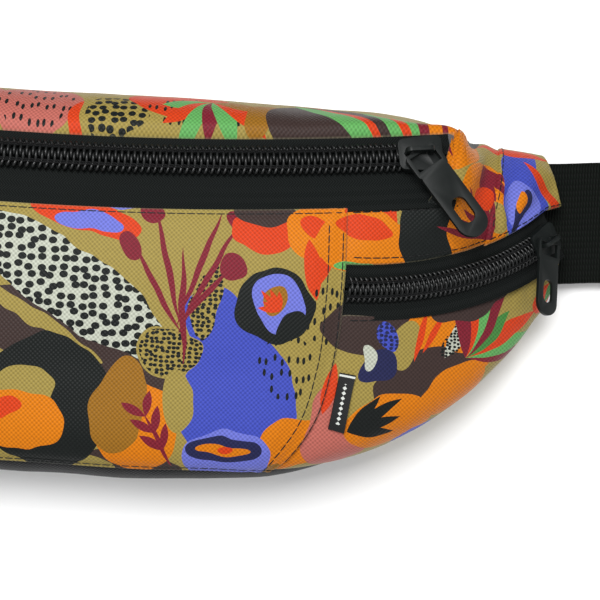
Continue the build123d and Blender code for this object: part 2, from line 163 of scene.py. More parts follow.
def weave(tree, place, pitch):
    """Height of a plain weave: threads go over and under, pitch millimetres apart."""
    parts = add(tree, "SeparateXYZ", [place]).node.outputs
    waves = [wave(tree, part, pitch * 1.414) for part in parts[:2]]
    return add(tree, "Math", [add(tree, "Math", waves, operation="MULTIPLY"), 0.5, 0.5],
               operation="MULTIPLY_ADD")


def rib(tree, value, pitch):
    """Height of ribs from 0 to 1, pitch millimetres apart."""
    return add(tree, "Math", [wave(tree, value, pitch), 0.5, 0.5], operation="MULTIPLY_ADD")


KHAKI, OCHRE, ORANGE, ORANGE_RED = "AE9A50", "A87424", "EE8712", "E8481D"
BLUE, PERIWINKLE, NAVY, BROWN = "4A58C8", "7A82E6", "2B2E58", "463734"
BLACK, OFF_WHITE, MAROON, PINK = "1D2120", "D0D5C4", "8A2636", "CF7468"
GREEN, LEAF_GREEN = "4F9448", "6DBB66"


def fan(colours, x, s, reach, width, first, last):
    """Pointed leaves spread from one point, from one angle to another."""
    leaves = []
    for step, colour in enumerate(colours):
        turn = first + (last - first) * step / max(len(colours) - 1, 1)
        length = reach * (0.85 + 0.3 * ((step * 7) % 3) / 2)
        leaves.append(("leaf", colour, x + cos(radians(turn)) * length / 2,
                       s + sin(radians(turn)) * length / 2, length / 2, width, turn))
    return leaves


def twig(colour, x, s, length, turn, pairs, leaf):
    """A stem with leaves in pairs."""
    way = (cos(radians(turn)), sin(radians(turn)))
    parts = [("leaf", colour, x + way[0] * length / 2, s + way[1] * length / 2, length / 2, 0.7, turn)]
    for pair in range(pairs):
        far = length * (0.35 + 0.6 * pair / max(pairs - 1, 1))
        for side in (-34, 34):
            angle = radians(turn + side)
            parts.append(("leaf", colour, x + way[0] * far + cos(angle) * leaf / 2,
                          s + way[1] * far + sin(angle) * leaf / 2, leaf / 2, leaf * 0.16, turn + side))
    return parts


# The print, from the bottom layer up: kind, colour, middle (x, s), half sizes, turn in degrees.
# x runs along the pack and s up the cloth, both in millimetres.
PRINT = [
    # centre panel
    ("blob", BROWN, 15, -20, 32, 13, -24), ("blob", BROWN, 30, -56, 18, 7, 0),
    ("blob", KHAKI, 6, -56, 22, 6, 0), ("blob", KHAKI, 4, -12, 22, 2.2, -30),
    ("blob", OFF_WHITE, 13, -1.5, 35, 10.5, -31), ("dots", BLACK, 13, -1.5, 35, 10.5, -31, 2.9),
    ("blob", ORANGE_RED, 16, 19, 17, 5.5, -14), ("blob", PERIWINKLE, 17, 17, 10, 3.2, -4),
    ("blob", PERIWINKLE, 30, 24, 12, 2.2, 0),
    ("blob", ORANGE, 34, -42, 13, 14, 0), ("blob", BLACK, 7, -36, 20, 20, -10),
    ("blob", KHAKI, 0, -33, 10, 8, 0), ("blob", ORANGE, -1, -42, 14, 9, 0),
    ("blob", ORANGE_RED, -5, -38, 5, 2.6, 20), ("blob", ORANGE_RED, -9, -44, 3, 1.8, 0),
    ("blob", BLUE, 64, -34, 17, 20, 0), ("blob", BLUE, 57, -13, 9, 14, 24),
    ("blob", KHAKI, 43, -19, 9.5, 7, 0), ("blob", KHAKI, 53, -4, 4, 10, -14),
    ("dots", BLACK, 43.5, -19, 9, 6.5, 0, 1.45), ("dots", BLACK, 53, -4, 4, 10.5, -14, 1.45),
    ("leaf", MAROON, 46, -6, 17, 1.0, 93), ("leaf", MAROON, 38, -1, 15, 0.9, 122),
    ("leaf", MAROON, 41, 5, 17, 0.9, 106), ("leaf", MAROON, 50, 5, 18, 0.9, 72),
    ("leaf", MAROON, 53, 3, 19, 0.9, 64), ("leaf", MAROON, 52, -3, 11, 0.9, 50),
    ("blob", MAROON, 29, 11, 3.0, 4.6, 20), ("blob", MAROON, 35.5, 20, 2.2, 3.2, 20),
    ("blob", MAROON, 60, 20, 3.4, 3.4, 0), ("blob", MAROON, 59.5, 5, 3.6, 4.2, 30),
    ("blob", ORANGE_RED, 68, 16.5, 10, 6.5, -8), ("blob", BROWN, 69, 23, 9.5, 4.4, 0),
    ("blob", ORANGE, 88, 18, 13, 10, 0), ("blob", KHAKI, 88, -4, 8, 14, 0),
    ("blob", ORANGE_RED, 83, 20, 4, 3, 0), ("leaf", ORANGE_RED, 83, 7, 9, 2.6, 100),
    ("leaf", ORANGE_RED, 86.5, 9, 8, 2.0, 74), ("dashes", BLACK, 87, -6, 6, 10, 0, 2.2),
    ("blob", BLACK, 73, -5, 11.5, 11.5, 30), ("blob", PERIWINKLE, 73.5, -4, 8.4, 9, 30),
    ("blob", OCHRE, 72, -3.5, 3.4, 5.2, -30), *fan([ORANGE_RED] * 5, 74, -6, 7, 0.9, 96, 176),
    ("blob", BLACK, 78, -10, 3.6, 6, -30), ("dashes", BLACK, 77, -23, 8, 10, 0, 2.2),
    ("blob", ORANGE, 80, -46, 12, 8, 20), ("blob", PINK, 88, -36, 4, 11, -12),
    ("blob", OCHRE, 72, -56, 12, 5, 0), ("leaf", ORANGE_RED, 90, -28, 8, 2.2, 76),
    ("blob", PERIWINKLE, 61, -50, 13, 8.5, 4),
    ("blob", NAVY, 60, -47, 10.5, 3.7, 4), ("blob", ORANGE, 60, -47, 7, 1.6, 4),
    ("blob", ORANGE_RED, 61, -46.5, 2.4, 1.0, 20), ("blob", OCHRE, 29, -36, 8, 15, -12),
    ("blob", KHAKI, 46, -33, 4.6, 10, 4), *twig(MAROON, 45, -54, 18, 118, 3, 8),
    # side panels, below and above the side zipper
    ("blob", BROWN, 105, -10, 18, 9, 0), ("blob", ORANGE, 126, -12, 15, 13, 0),
    ("blob", BROWN, 118, -25, 16, 9, 26), ("blob", KHAKI, 112, -14, 5, 7, -20),
    ("blob", BLUE, 106, -12, 3.0, 4.4, 18), ("dots", NAVY, 106, -12, 3.0, 4.4, 18, 1.4),
    ("blob", NAVY, 104, -21, 5.6, 4.4, 50), ("blob", OFF_WHITE, 101, -19, 1.6, 3.4, 10),
    ("blob", PINK, 92, -46, 9, 9, 0), ("blob", ORANGE, 108, -38, 14, 8, 20),
    *fan([BLACK] * 4, 96, -41, 17, 1.7, 2, 50), ("blob", ORANGE, 128, -28, 12, 7, 40),
    ("leaf", ORANGE_RED, 117, -11, 8, 1.1, 78), ("leaf", ORANGE_RED, 121, -10, 7, 1.0, 64),
    ("leaf", OFF_WHITE, 128.5, -10, 8, 2.3, 66), ("dots", BLACK, 128.5, -10, 2.6, 7.6, -24, 1.1),
    *fan([MAROON, LEAF_GREEN, ORANGE_RED, GREEN, MAROON, LEAF_GREEN, ORANGE_RED, MAROON],
         131, -17, 25, 2.5, 10, 96),
    ("blob", ORANGE, 94, -60, 12, 5, 0), ("blob", BLUE, 118, -48, 10, 6, 30),
    ("blob", KHAKI, 104, -52, 8, 4, 20), ("blob", BROWN, 132, 0, 13, 4, 24),
    ("blob", ORANGE_RED, 99, 25, 8, 6, 0), ("blob", ORANGE, 98, 16, 15, 10, 0),
    ("blob", ORANGE_RED, 97, 21, 8, 3.4, -4), ("blob", LEAF_GREEN, 96, 9, 7, 2, 0),
    ("blob", BLACK, 119, 20, 12, 13, -16), ("blob", ORANGE, 134, 26, 10, 20, 0),
    ("blob", KHAKI, 139, 27, 4, 6, 40),
    *fan([MAROON] * 6, 138, 20, 16, 1.1, 92, 172), *fan([MAROON] * 4, 133, 45, 14, 1.3, -84, -34),
    ("blob", ORANGE_RED, 134, 33, 3.4, 5, 20), ("blob", BLUE, 149, 36, 9, 17, 6),
    ("blob", PERIWINKLE, 147, 31, 5.6, 9, 20), ("blob", NAVY, 147, 30, 2.2, 7, -8),
    ("blob", ORANGE, 146, 32, 1.2, 4, 0), ("blob", KHAKI, 158, 40, 5, 12, 14),
    ("leaf", ORANGE_RED, 157, 36, 14, 1.8, -52), ("leaf", ORANGE_RED, 145, 52, 13, 2.6, -14),
    ("blob", KHAKI, 161, 20, 3.0, 9, 0), ("dots", BLACK, 161, 20, 3.0, 9, 0, 1.6),
    ("blob", ORANGE_RED, 158, 3, 6, 4, 40), ("leaf", GREEN, 161, 7, 6, 1.6, 60),
    # top panel
    ("blob", PINK, -3, 55, 13, 13, 0), ("dashes", BLACK, -3, 55, 11, 12, 0, 2.4),
    ("blob", ORANGE_RED, 10, 49, 3, 6, 0), ("blob", KHAKI, 20, 52, 10, 14, 0),
    ("dots", BLACK, 21, 51, 9, 8, 0, 2.6), ("blob", ORANGE_RED, 40, 60, 15, 9, 0),
    ("dashes", BLACK, 46, 54, 16, 9, 0, 2.2),
    *fan([LEAF_GREEN, ORANGE_RED, LEAF_GREEN, MAROON, LEAF_GREEN, ORANGE_RED, OCHRE],
         50, 60, 19, 2.9, -166, -14),
    ("blob", OCHRE, 65, 54, 5, 9, -20), ("blob", BROWN, 84, 53, 17, 15, 0),
    ("blob", PERIWINKLE, 70, 78, 14, 7, 0), ("leaf", LEAF_GREEN, 88, 56, 19, 3.4, 138),
    ("leaf", ORANGE_RED, 93, 56, 18, 1.3, 136), ("leaf", BROWN, 98, 56, 17, 2.4, 134),
    ("leaf", LEAF_GREEN, 104, 54, 14, 2.4, 128), ("leaf", ORANGE_RED, 107, 54, 13, 1.3, 124),
    ("blob", ORANGE, 122, 55, 11, 15, 0), ("leaf", LEAF_GREEN, 111, 54, 12, 1.8, 118),
    ("leaf", MAROON, 114, 54, 12, 1.7, 112), ("leaf", MAROON, 121, 54, 11, 0.9, 104),
    ("blob", BLACK, 130, 58, 4, 6, 0), ("blob", ORANGE, 20, 80, 22, 8, 0),
    ("blob", KHAKI, 100, 80, 16, 7, 0), ("dots", BLACK, 100, 80, 14, 6, 0, 2.6),
]


def oval_group():
    """Masks of an oval and of a pointed leaf: Place, Middle, Half sizes and Turn go in."""
    tree = bpy.data.node_groups.new("print_oval", "ShaderNodeTree")
    for name, kind in (("Place", "Vector"), ("Middle", "Vector"), ("Half", "Vector"), ("Turn", "Float")):
        tree.interface.new_socket(name, in_out="INPUT", socket_type="NodeSocket" + kind)
    for name in ("Oval", "Leaf"):
        tree.interface.new_socket(name, in_out="OUTPUT", socket_type="NodeSocketFloat")
    given = add(tree, "NodeGroupInput").node.outputs
    offset = add(tree, "VectorMath", [given[0], given[1]], operation="SUBTRACT")
    turned = add(tree, "VectorRotate", {"Vector": offset, "Angle": given[3]}, rotation_type="Z_AXIS")
    scaled = add(tree, "VectorMath", [turned, given[2]], operation="DIVIDE")
    reach = add(tree, "VectorMath", [scaled], "Value", operation="LENGTH")
    parts = add(tree, "SeparateXYZ", [scaled]).node.outputs
    square = add(tree, "Math", [parts[0], parts[0]], operation="MULTIPLY")
    edge = add(tree, "Math", [1.0, square], operation="SUBTRACT")
    width = add(tree, "Math", [parts[1]], operation="ABSOLUTE")
    masks = [add(tree, "Math", pair, operation="LESS_THAN") for pair in ([reach, 1.0], [width, edge])]
    add(tree, "NodeGroupOutput", masks).is_active_output = True
    return tree


print_oval = oval_group()


def printed_colour(tree, place, x_range, s_range):
    """The print over a stretch of cloth. Motifs that can't reach the stretch are left out."""
    parts = add(tree, "SeparateXYZ", [place]).node.outputs
    moved = add(tree, "Math", [parts[0], PRINT_FOLD], operation="ADD")
    mirrored_x = add(tree, "Math", [moved], operation="ABSOLUTE")
    folded = add(tree, "Math", [mirrored_x, PRINT_FOLD], operation="SUBTRACT")
    flat = add(tree, "CombineXYZ", [folded, parts[1]])
    wander = add(tree, "TexNoise", {"Vector": flat, "Scale": 0.07, "Detail": 1.0}, "Color")
    shift = add(tree, "VectorMath", [wander, (0.5, 0.5, 0.5)], operation="SUBTRACT")
    steady, loose = [add(tree, "VectorMath", [shift, (amount, amount, 0), flat], operation="MULTIPLY_ADD")
                     for amount in (2.5, 7.0)]
    colour = KHAKI
    for kind, code, x, s, half_x, half_s, turn, *pitch in PRINT:
        reach = max(half_x, half_s) + 6
        if not (x_range[0] - reach < x < x_range[1] + reach and s_range[0] - reach < s < s_range[1] + reach):
            continue
        mask = add(tree, "Group", {"Place": steady if kind == "leaf" else loose, "Middle": (x, s, 0),
                                   "Half": (half_x, half_s, 1), "Turn": radians(-turn)},
                   "Leaf" if kind == "leaf" else "Oval", node_tree=print_oval)
        if pitch:
            stretch, size = ((0.9, 1.1, 1), 0.39) if kind == "dots" else ((1, 0.42, 1), 0.21)
            cells = add(tree, "VectorMath", [flat, stretch], operation="MULTIPLY")
            near = add(tree, "TexVoronoi", {"Vector": cells, "Scale": 1 / pitch[0], "Randomness": 0.5},
                       voronoi_dimensions="2D")
            spots = add(tree, "Math", [near, size], operation="LESS_THAN")
            mask = add(tree, "Math", [mask, spots], operation="MULTIPLY")
        colour = add(tree, "Mix", {0: mask, 6: colour, 7: code}, 2, data_type="RGBA")
    return colour


def printed_oxford(tree, x_range, s_range):
    """600D polyester oxford, heat-transfer printed: dull woven grain with a satin sheen.
    Its colours are painted darker in the gaps between the yarns, a painted shade, and in random
    patches, and its folded edges are worn paler. The yarns are drawn 0.95 mm apart, twice the real pitch, to
    show."""
    place = cloth_place(tree)
    yarns = weave(tree, place, 0.95)
    patchy = add(tree, "TexNoise", {"Vector": place, "Scale": 0.6, "Detail": 3.0})
    even = add(tree, "Math", [yarns, 0.75], operation="MULTIPLY")
    grain = add(tree, "Math", [patchy, 0.25, even], operation="MULTIPLY_ADD")
    # shade darkens the print where the yarns dip, a painted shade, and in random patches
    shade = add(tree, "MapRange", {"Value": grain, "From Min": 0.1, "From Max": 0.75,
                                   "To Min": 0.38, "To Max": 0.64})
    rim = add(tree, "Attribute", out="Fac", attribute_name="rim")
    wear = add(tree, "Math", [rim, 0.5], operation="MULTIPLY")
    look = raised(tree, wear, printed_colour(tree, place, x_range, s_range), "C9C4A4", yarns, 0.00016, 0.75)
    shaded_print = add(tree, "VectorMath", {0: look["Base Color"], 3: shade}, operation="SCALE")
    return {**look, "Base Color": shaded_print, "Roughness": 0.5, "Sheen Weight": 0.03, "Sheen Roughness": 0.4,
            "Specular IOR Level": 0.1}


def black_oxford(tree):
    """600D polyester oxford in black dye: a dull grain that catches light on its yarns."""
    yarns = weave(tree, cloth_place(tree), 0.95)
    return {**raised(tree, yarns, "0B0C0D", "1C1D1F", yarns, 0.00016, 0.8),
            "Roughness": 0.6, "Sheen Weight": 0.03, "Specular IOR Level": 0.08}


def spacer_mesh(tree):
    """Knitted spacer mesh on the back panel: black, with rows of small open cells 3.2 mm apart."""
    place = cloth_place(tree)
    stagger = add(tree, "VectorMath", [place, (1, 0.6, 1)], operation="MULTIPLY")
    cells = add(tree, "TexVoronoi", {"Vector": stagger, "Scale": 1 / 3.2, "Randomness": 0.0},
                voronoi_dimensions="2D")
    hole = add(tree, "MapRange", {"Value": cells, "From Min": 0.22, "From Max": 0.36})
    height = add(tree, "Math", [weave(tree, place, 0.7), 0.2, hole], operation="MULTIPLY_ADD")
    # the open cells are painted darker than the yarns round them: painted shade in the cells
    return {**raised(tree, hole, "050505", "1D1E20", height, 0.0007, 0.8),
            "Roughness": 0.75, "Sheen Weight": 0.3}


def zipper_tape(tree):
    """Polyester zipper tape, woven in a fine herringbone: soft black, ribs slanting both ways."""
    parts = add(tree, "SeparateXYZ", [cloth_place(tree)]).node.outputs
    zigzag = add(tree, "Math", [parts[1], 1.6], operation="PINGPONG")
    slant = rib(tree, add(tree, "Math", [parts[0], zigzag], operation="ADD"), 0.85)
    # the low parts of the ribs are painted darker than their tops: painted shade on the herringbone
    return {**raised(tree, slant, "050606", "131716", slant, 0.00014, 0.8),
            "Roughness": 0.62, "Sheen Weight": 0.02, "Specular IOR Level": 0.07}


def nylon_coil(tree):
    """Nylon monofilament, drawn and heat-set: smooth black plastic with sharp small highlights."""
    place = add(tree, "TexCoord", out="Object")
    streak = add(tree, "TexNoise", {"Vector": place, "Scale": 900.0, "Detail": 2.0})
    return {"Base Color": add(tree, "Mix", {0: streak, 6: "050606", 7: "101212"}, 2, data_type="RGBA"),
            "Roughness": add(tree, "MapRange", {"Value": streak, "To Min": 0.3, "To Max": 0.42}),
            "IOR": 1.53, "Specular IOR Level": 0.34}


def lacquered_zinc(tree):
    """Die-cast zinc under matte black lacquer: even, faintly pebbled, worn a little brighter in soft random
    patches.
    """
    place = add(tree, "TexCoord", out="Object")
    pebble = add(tree, "TexNoise", {"Vector": place, "Scale": 2600.0, "Detail": 3.0})
    cloud = add(tree, "TexNoise", {"Vector": place, "Scale": 180.0, "Detail": 2.0})
    return {**raised(tree, cloud, "0D1010", "151918", pebble, 0.00003, 0.5),
            "Roughness": add(tree, "MapRange", {"Value": cloud, "To Min": 0.36, "To Max": 0.5}),
            "Specular IOR Level": 0.17}


def acetal(tree):
    """Moulded acetal with a spark-eroded finish: black, waxy, fine even grit."""
    place = add(tree, "TexCoord", out="Object")
    grit = add(tree, "TexNoise", {"Vector": place, "Scale": 3200.0, "Detail": 2.0})
    flow = add(tree, "TexNoise", {"Vector": place, "Scale": 60.0, "Detail": 2.0})
    return {**raised(tree, flow, "141516", "1E2021", grit, 0.00004, 0.6), "Roughness": 0.44, "IOR": 1.48}


def webbing_weave(tree):
    """Polypropylene webbing, needle-loom woven: transverse ribs crossed by rows of warp loops."""
    parts = add(tree, "SeparateXYZ", [cloth_place(tree)]).node.outputs
    row, column = rib(tree, parts[0], 0.95), rib(tree, parts[1], 1.9)
    loops = add(tree, "Math", [row, column], operation="MULTIPLY")
    ribs = add(tree, "Math", [row, 0.45], operation="MULTIPLY")
    height = add(tree, "Math", [loops, 0.55, ribs], operation="MULTIPLY_ADD")
    # the low parts of the loops and ribs are painted darker: painted shade in the weave
    return {**raised(tree, height, "030403", "0F1410", height, 0.00035, 0.85),
            "Roughness": 0.55, "Sheen Weight": 0.02, "Specular IOR Level": 0.06}


def sewing_thread(tree):
    """Bonded polyester thread, two plies twisted: black with a slight gloss."""
    place = add(tree, "TexCoord", out="Object")
    ply = add(tree, "TexWave", {"Vector": place, "Scale": 900.0, "Distortion": 1.0}, "Fac",
              bands_direction="DIAGONAL")
    # the hollows between the plies are painted darker: painted shade
    return {**raised(tree, ply, "060606", "161718", ply, 0.00005, 0.6),
            "Roughness": 0.5, "Specular IOR Level": 0.25}


def woven_label(tree):
    """Damask label, woven black with a pale plain border and a row of small diamonds."""
    place = cloth_place(tree)
    parts = add(tree, "SeparateXYZ", [place]).node.outputs
    folded = add(tree, "Math", [parts[1], 1.5], operation="PINGPONG")
    along, across = [add(tree, "Math", [add(tree, "Math", pair, operation="SUBTRACT")], operation="ABSOLUTE")
                     for pair in ([folded, 0.75], [parts[0], 2.2])]
    slope = add(tree, "Math", [along, across], operation="ADD")
    diamond = add(tree, "Math", [slope, 0.62], operation="LESS_THAN")
    inside = add(tree, "Math", [parts[1], 8.0, 6.0], operation="COMPARE")
    border = add(tree, "Math", [parts[1], 16.3, 0.3], operation="COMPARE")
    row = add(tree, "Math", [diamond, inside], operation="MULTIPLY")
    motif = add(tree, "Math", [row, border], operation="MAXIMUM")
    return {**raised(tree, motif, "101112", "B9BDB8", weave(tree, place, 0.4), 0.00008, 0.6),
            "Roughness": 0.6, "Specular IOR Level": 0.25}


def lining_cloth(tree):
    """Thin 210D polyester lining: flat grey plain weave."""
    place = add(tree, "TexCoord", out="Object")
    in_mm = add(tree, "VectorMath", [place, (1 / MM,) * 3], operation="MULTIPLY")
    yarns = weave(tree, in_mm, 0.5)
    # the gaps between the yarns are painted darker: painted shade
    return {**raised(tree, yarns, "3A3B3E", "505256", yarns, 0.00008, 0.5),
            "Roughness": 0.6, "Sheen Weight": 0.2}


def painted_board(tree):
    """Matt white studio board."""
    place = add(tree, "TexCoord", out="Object")
    tone = add(tree, "TexNoise", {"Vector": place, "Scale": 3.0, "Detail": 1.0})
    return {"Base Color": add(tree, "Mix", {0: tone, 6: "F8F8F8", 7: "FAFAFA"}, 2, data_type="RGBA"),
            "Roughness": 0.9}


# ---- the pack's skin ---------------------------------------------------------------

HALF_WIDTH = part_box("back_panel")[1].x / MM
DEPTH, END_DEPTH, FULLNESS = 57.0, 12.0, 3.8
ZIP_LEAN_Y, ZIP_LEAN_Z = 0.24, 0.97     # the way the main zipper's band faces
BAND_FADE = (136.0, 12.0)               # where the flat band ends, and over what length
LOWER_EDGE = np.array([(0, -59.5), (45, -59.2), (85, -54), (110, -44), (124, -35.5),
                       (136, -26), (148, -13), (158, -1.5), (165, 6.2)])
UPPER_EDGE = np.array([(0, 58.5), (45, 58.3), (85, 57.8), (110, 57), (124, 54.5),
                       (136, 51.2), (148, 50.2), (158, 49.6), (165, 49.2)])
MAIN_MIDDLE = np.array((0, 36.2, 52.0))
MAIN_BAND = (-15.0, 7.5)
SIDE_BAND = (-8.0, 8.0)
SIDE_SIZE = 0.86            # the side zippers' chain against the main one's
SLIDER_ROOM = 8.0           # of coil past a slider's middle


def hermite(knots, values, where):
    """Smooth curve through values at knots: (knots, ...), or (points, knots, ...) with one set a point."""
    where = np.clip(where, knots[0], knots[-1])
    shared = values.shape[0] == len(knots) and values.ndim <= 2
    axis = 0 if shared else 1
    slopes = np.gradient(values, knots, axis=axis)
    step = np.clip(np.searchsorted(knots, where, side="right") - 1, 0, len(knots) - 2)
    gap = knots[step + 1] - knots[step]
    u = (where - knots[step]) / gap
    pick = (lambda table, i: table[i]) if shared else (lambda table, i: table[np.arange(len(i)), i])
    shape = (slice(None),) + (None,) * (values.ndim - 1 - (0 if shared else 1))
    u, gap = u[shape], gap[shape]
    return ((2 * u**3 - 3 * u**2 + 1) * pick(values, step)
            + (u**3 - 2 * u**2 + u) * gap * pick(slopes, step)
            + (3 * u**2 - 2 * u**3) * pick(values, step + 1)
            + (u**3 - u**2) * gap * pick(slopes, step + 1))


def vector(values):
    return np.array(values, float)


MIRROR = vector((-1, 1, 1))


def unit(rows):
    return rows / np.maximum(np.linalg.norm(rows, axis=-1, keepdims=True), 1e-9)


def rotate(rows, axis, angle):
    """Turn vectors about an axis through the origin, angle in degrees."""
    rows, angle = np.asarray(rows, float), np.radians(angle)
    c, s = np.cos(angle)[..., None], np.sin(angle)[..., None]
    along = (rows @ axis)[..., None] * axis
    return rows * c + np.cross(axis, rows) * s + along * (1 - c)


class Track:
    """A zipper's curved centre line, read from the joint its slider turns on."""

    def __init__(self, joint, middle, facing, last):
        self.centre = vector(joint["pos_m"]) / MM
        self.axis = unit(vector(joint["axis"]))
        spoke = vector(middle) - self.centre
        self.radius = np.linalg.norm(spoke)
        self.outward = unit(spoke)
        self.along = unit(np.cross(self.axis, self.outward))
        self.across = unit(np.cross(vector(facing), self.along))
        self.face = np.cross(self.along, self.across)
        end = vector(last) - self.centre
        self.end = degrees(atan2(end @ self.along, end @ self.outward))

    def degrees_for(self, length):
        return degrees(length / self.radius)

    def place(self, angle, across, out):
        """Points at an angle along the track, across it and out of the pack."""
        angle = np.asarray(angle, float)
        shape = np.broadcast_shapes(angle.shape, np.shape(across), np.shape(out))
        angle = np.broadcast_to(angle, shape)
        local = (self.outward * self.radius + np.broadcast_to(across, shape)[..., None] * self.across
                 + np.broadcast_to(out, shape)[..., None] * self.face)
        return self.centre + rotate(local, self.axis, angle)

    def frame_at(self, angle):
        """Tangent, across and face directions at an angle."""
        return [rotate(way, self.axis, angle) for way in (self.along, self.across, self.face)]


main_track = Track(joints["main_zip"], MAIN_MIDDLE, (0, ZIP_LEAN_Y, ZIP_LEAN_Z), (115, 43.5, 43.5))
side_track = Track(joints["side_zip_right"], (126, 6.7, 40.8), (0.33, 0.05, 0.94), (156, 21.5, 20.5))
MAIN_ZIP_END = main_track.degrees_for(124)


def section_points(x):
    """Ten points of the section at each x, from the back's lower corner over the front."""
    wide = np.abs(x)
    low = hermite(LOWER_EDGE[:, 0], LOWER_EDGE[:, 1], wide)
    high = hermite(UPPER_EDGE[:, 0], UPPER_EDGE[:, 1], wide)
    tall = high - low
    front = DEPTH - (DEPTH - END_DEPTH) * (wide / HALF_WIDTH) ** FULLNESS
    drop = main_track.radius - np.sqrt(main_track.radius ** 2 - wide ** 2)
    zip_y = MAIN_MIDDLE[1] - drop * main_track.outward[1]
    zip_z = MAIN_MIDDLE[2] - drop * main_track.outward[2]
    zipped = np.clip((BAND_FADE[0] - wide) / BAND_FADE[1], 0, 1)
    zipped = zipped * zipped * (3 - 2 * zipped)
    band_low, band_high = [(zip_y + edge * ZIP_LEAN_Z, zip_z - edge * ZIP_LEAN_Y) for edge in MAIN_BAND]
    plain_low = (low + 0.72 * tall, 0.97 * front)
    plain_high = (low + 0.86 * tall, 0.87 * front)
    blend = [[a * zipped + b * (1 - zipped) for a, b in zip(band, plain)]
             for band, plain in ((band_low, plain_low), (band_high, plain_high))]
    rows = [(low + 2.5, 0 * x), (low, 0.5 * front), (low + 0.03 * tall, 0.84 * front),
            (low + 0.33 * tall, 0.985 * front), (low + 0.55 * tall, front), blend[0], blend[1],
            (high - 0.03 * tall, 0.66 * front), (high, 0.4 * front), (high - 4, 0 * x)]
    return np.stack([np.stack(row, axis=-1) for row in rows], axis=1)


_middle = section_points(np.zeros(1))[0]
_chords = np.concatenate([[0], np.cumsum(np.linalg.norm(np.diff(_middle, axis=0), axis=1))])
KNOTS = _chords / _chords[-1]
T_BAND_LOW, T_BAND_HIGH = KNOTS[5], KNOTS[6]


def skin(x, t):
    """Points on the filled pack's outer form, t from 0 at the back's lower edge to 1 at its upper edge."""
    x, t = np.broadcast_arrays(np.asarray(x, float), np.asarray(t, float))
    flat_x, flat_t = x.ravel(), t.ravel()

    def at(px, pt):
        section = hermite(KNOTS, section_points(px), pt)
        return np.column_stack([px, section])

    base = at(flat_x, flat_t)
    inner_x = np.clip(flat_x, -HALF_WIDTH + 0.5, HALF_WIDTH - 0.5)
    inner_t = np.clip(flat_t, 0.002, 0.998)
    along = at(inner_x + 0.5, inner_t) - at(inner_x - 0.5, inner_t)
    up = at(inner_x, inner_t + 0.002) - at(inner_x, inner_t - 0.002)
    normal = unit(np.cross(along, up))
    return base.reshape(x.shape + (3,)), normal.reshape(x.shape + (3,))


T_FINE = np.linspace(0, 1, 241)


def find_t(x, goal, column, reach):
    """Where in reach, a stretch of T_FINE, the section's y (column 0) or z (1) meets a goal at each x."""
    x, goal = np.broadcast_arrays(np.asarray(x, float), np.asarray(goal, float))
    found = np.empty(x.size)
    for i, (px, wanted) in enumerate(zip(x.ravel(), goal.ravel())):
        values = hermite(KNOTS, section_points(np.full(len(reach), px)), reach)[:, column]
        found[i] = np.interp(wanted, values, reach)
    return found.reshape(x.shape)


def t_at(x, y):
    """Where on the section the front face reaches height y, for each x."""
    return find_t(x, y, 0, T_FINE[(T_FINE > KNOTS[1]) & (T_FINE < KNOTS[8])])


def cloth_height(x, t):
    """Length up the cloth, matched to y at the main zipper's lower edge, read from a table."""
    x, t = np.broadcast_arrays(np.asarray(x, float), np.asarray(t, float))
    columns = np.linspace(-HALF_WIDTH, HALF_WIDTH, 67)
    table = []
    for px in columns:
        section = hermite(KNOTS, section_points(np.full(len(T_FINE), px)), T_FINE)
        length = np.concatenate([[0], np.cumsum(np.linalg.norm(np.diff(section, axis=0), axis=1))])
        at_band = np.interp(T_BAND_LOW, T_FINE, length)
        table.append(length - at_band + np.interp(T_BAND_LOW, T_FINE, section[:, 0]))
    table = np.array(table)
    i = np.clip((x + HALF_WIDTH) / (columns[1] - columns[0]), 0, len(columns) - 1.001)
    j = np.clip(t * (len(T_FINE) - 1), 0, len(T_FINE) - 1.001)
    i0, j0 = i.astype(int), j.astype(int)
    fi, fj = i - i0, j - j0
    return ((table[i0, j0] * (1 - fi) + table[i0 + 1, j0] * fi) * (1 - fj)
            + (table[i0, j0 + 1] * (1 - fi) + table[i0 + 1, j0 + 1] * fi) * fj)


# ---- making cloth ------------------------------------------------------------------

def grid_piece(name, points, spread, material):
    """A grid primitive with its corners carried to points (rows, columns), mapped by spread in mm."""
    rows, columns = points.shape[:2]
    bpy.ops.mesh.primitive_grid_add(x_subdivisions=columns - 1, y_subdivisions=rows - 1, size=2)
    piece = bpy.context.object
    piece.name = name
    mesh = piece.data
    mesh.vertices.foreach_set("co", (points * MM).ravel())
    uv = mesh.uv_layers[0]
    uv.name = "cloth"
    corner = np.empty(len(mesh.loops), int)
    mesh.loops.foreach_get("vertex_index", corner)
    flat = spread.reshape(-1, 2)[corner] / CLOTH_SPAN + 0.5
    uv.data.foreach_set("uv", flat.ravel())
    mesh.materials.append(material)
    mesh.update()
    return piece


def choose(piece):
    bpy.ops.object.select_all(action="DESELECT")
    piece.select_set(True)
    bpy.context.view_layer.objects.active = piece


def apply_modifier(piece, kind, **settings):
    choose(piece)
    modifier = piece.modifiers.new(kind.lower(), kind)
    for key, value in settings.items():
        setattr(modifier, key, value)
    bpy.ops.object.modifier_apply(modifier=modifier.name)


def smooth(piece, angle):
    choose(piece)
    bpy.ops.object.shade_smooth_by_angle(angle=radians(angle))


def thicken(piece, thickness):
    """Give a sheet its thickness inwards, with its rim closed."""
    apply_modifier(piece, "SOLIDIFY", thickness=thickness * MM, offset=-1, use_even_offset=False)
    smooth(piece, 60)


def spaced(length, pitch, fine=(0.35, 0.8, 1.5, 2.6)):
    """Shares of a length from 0 to 1, about pitch apart, and closer together near both ends."""
    edge = [f / length for f in fine if f < length * 0.3]
    inner = np.linspace(edge[-1] + pitch * 0.6 / length, 1 - edge[-1] - pitch * 0.6 / length,
                        max(int(length / pitch), 4))
    return np.concatenate([[0], edge, inner, 1 - vector(edge)[::-1], [1]])


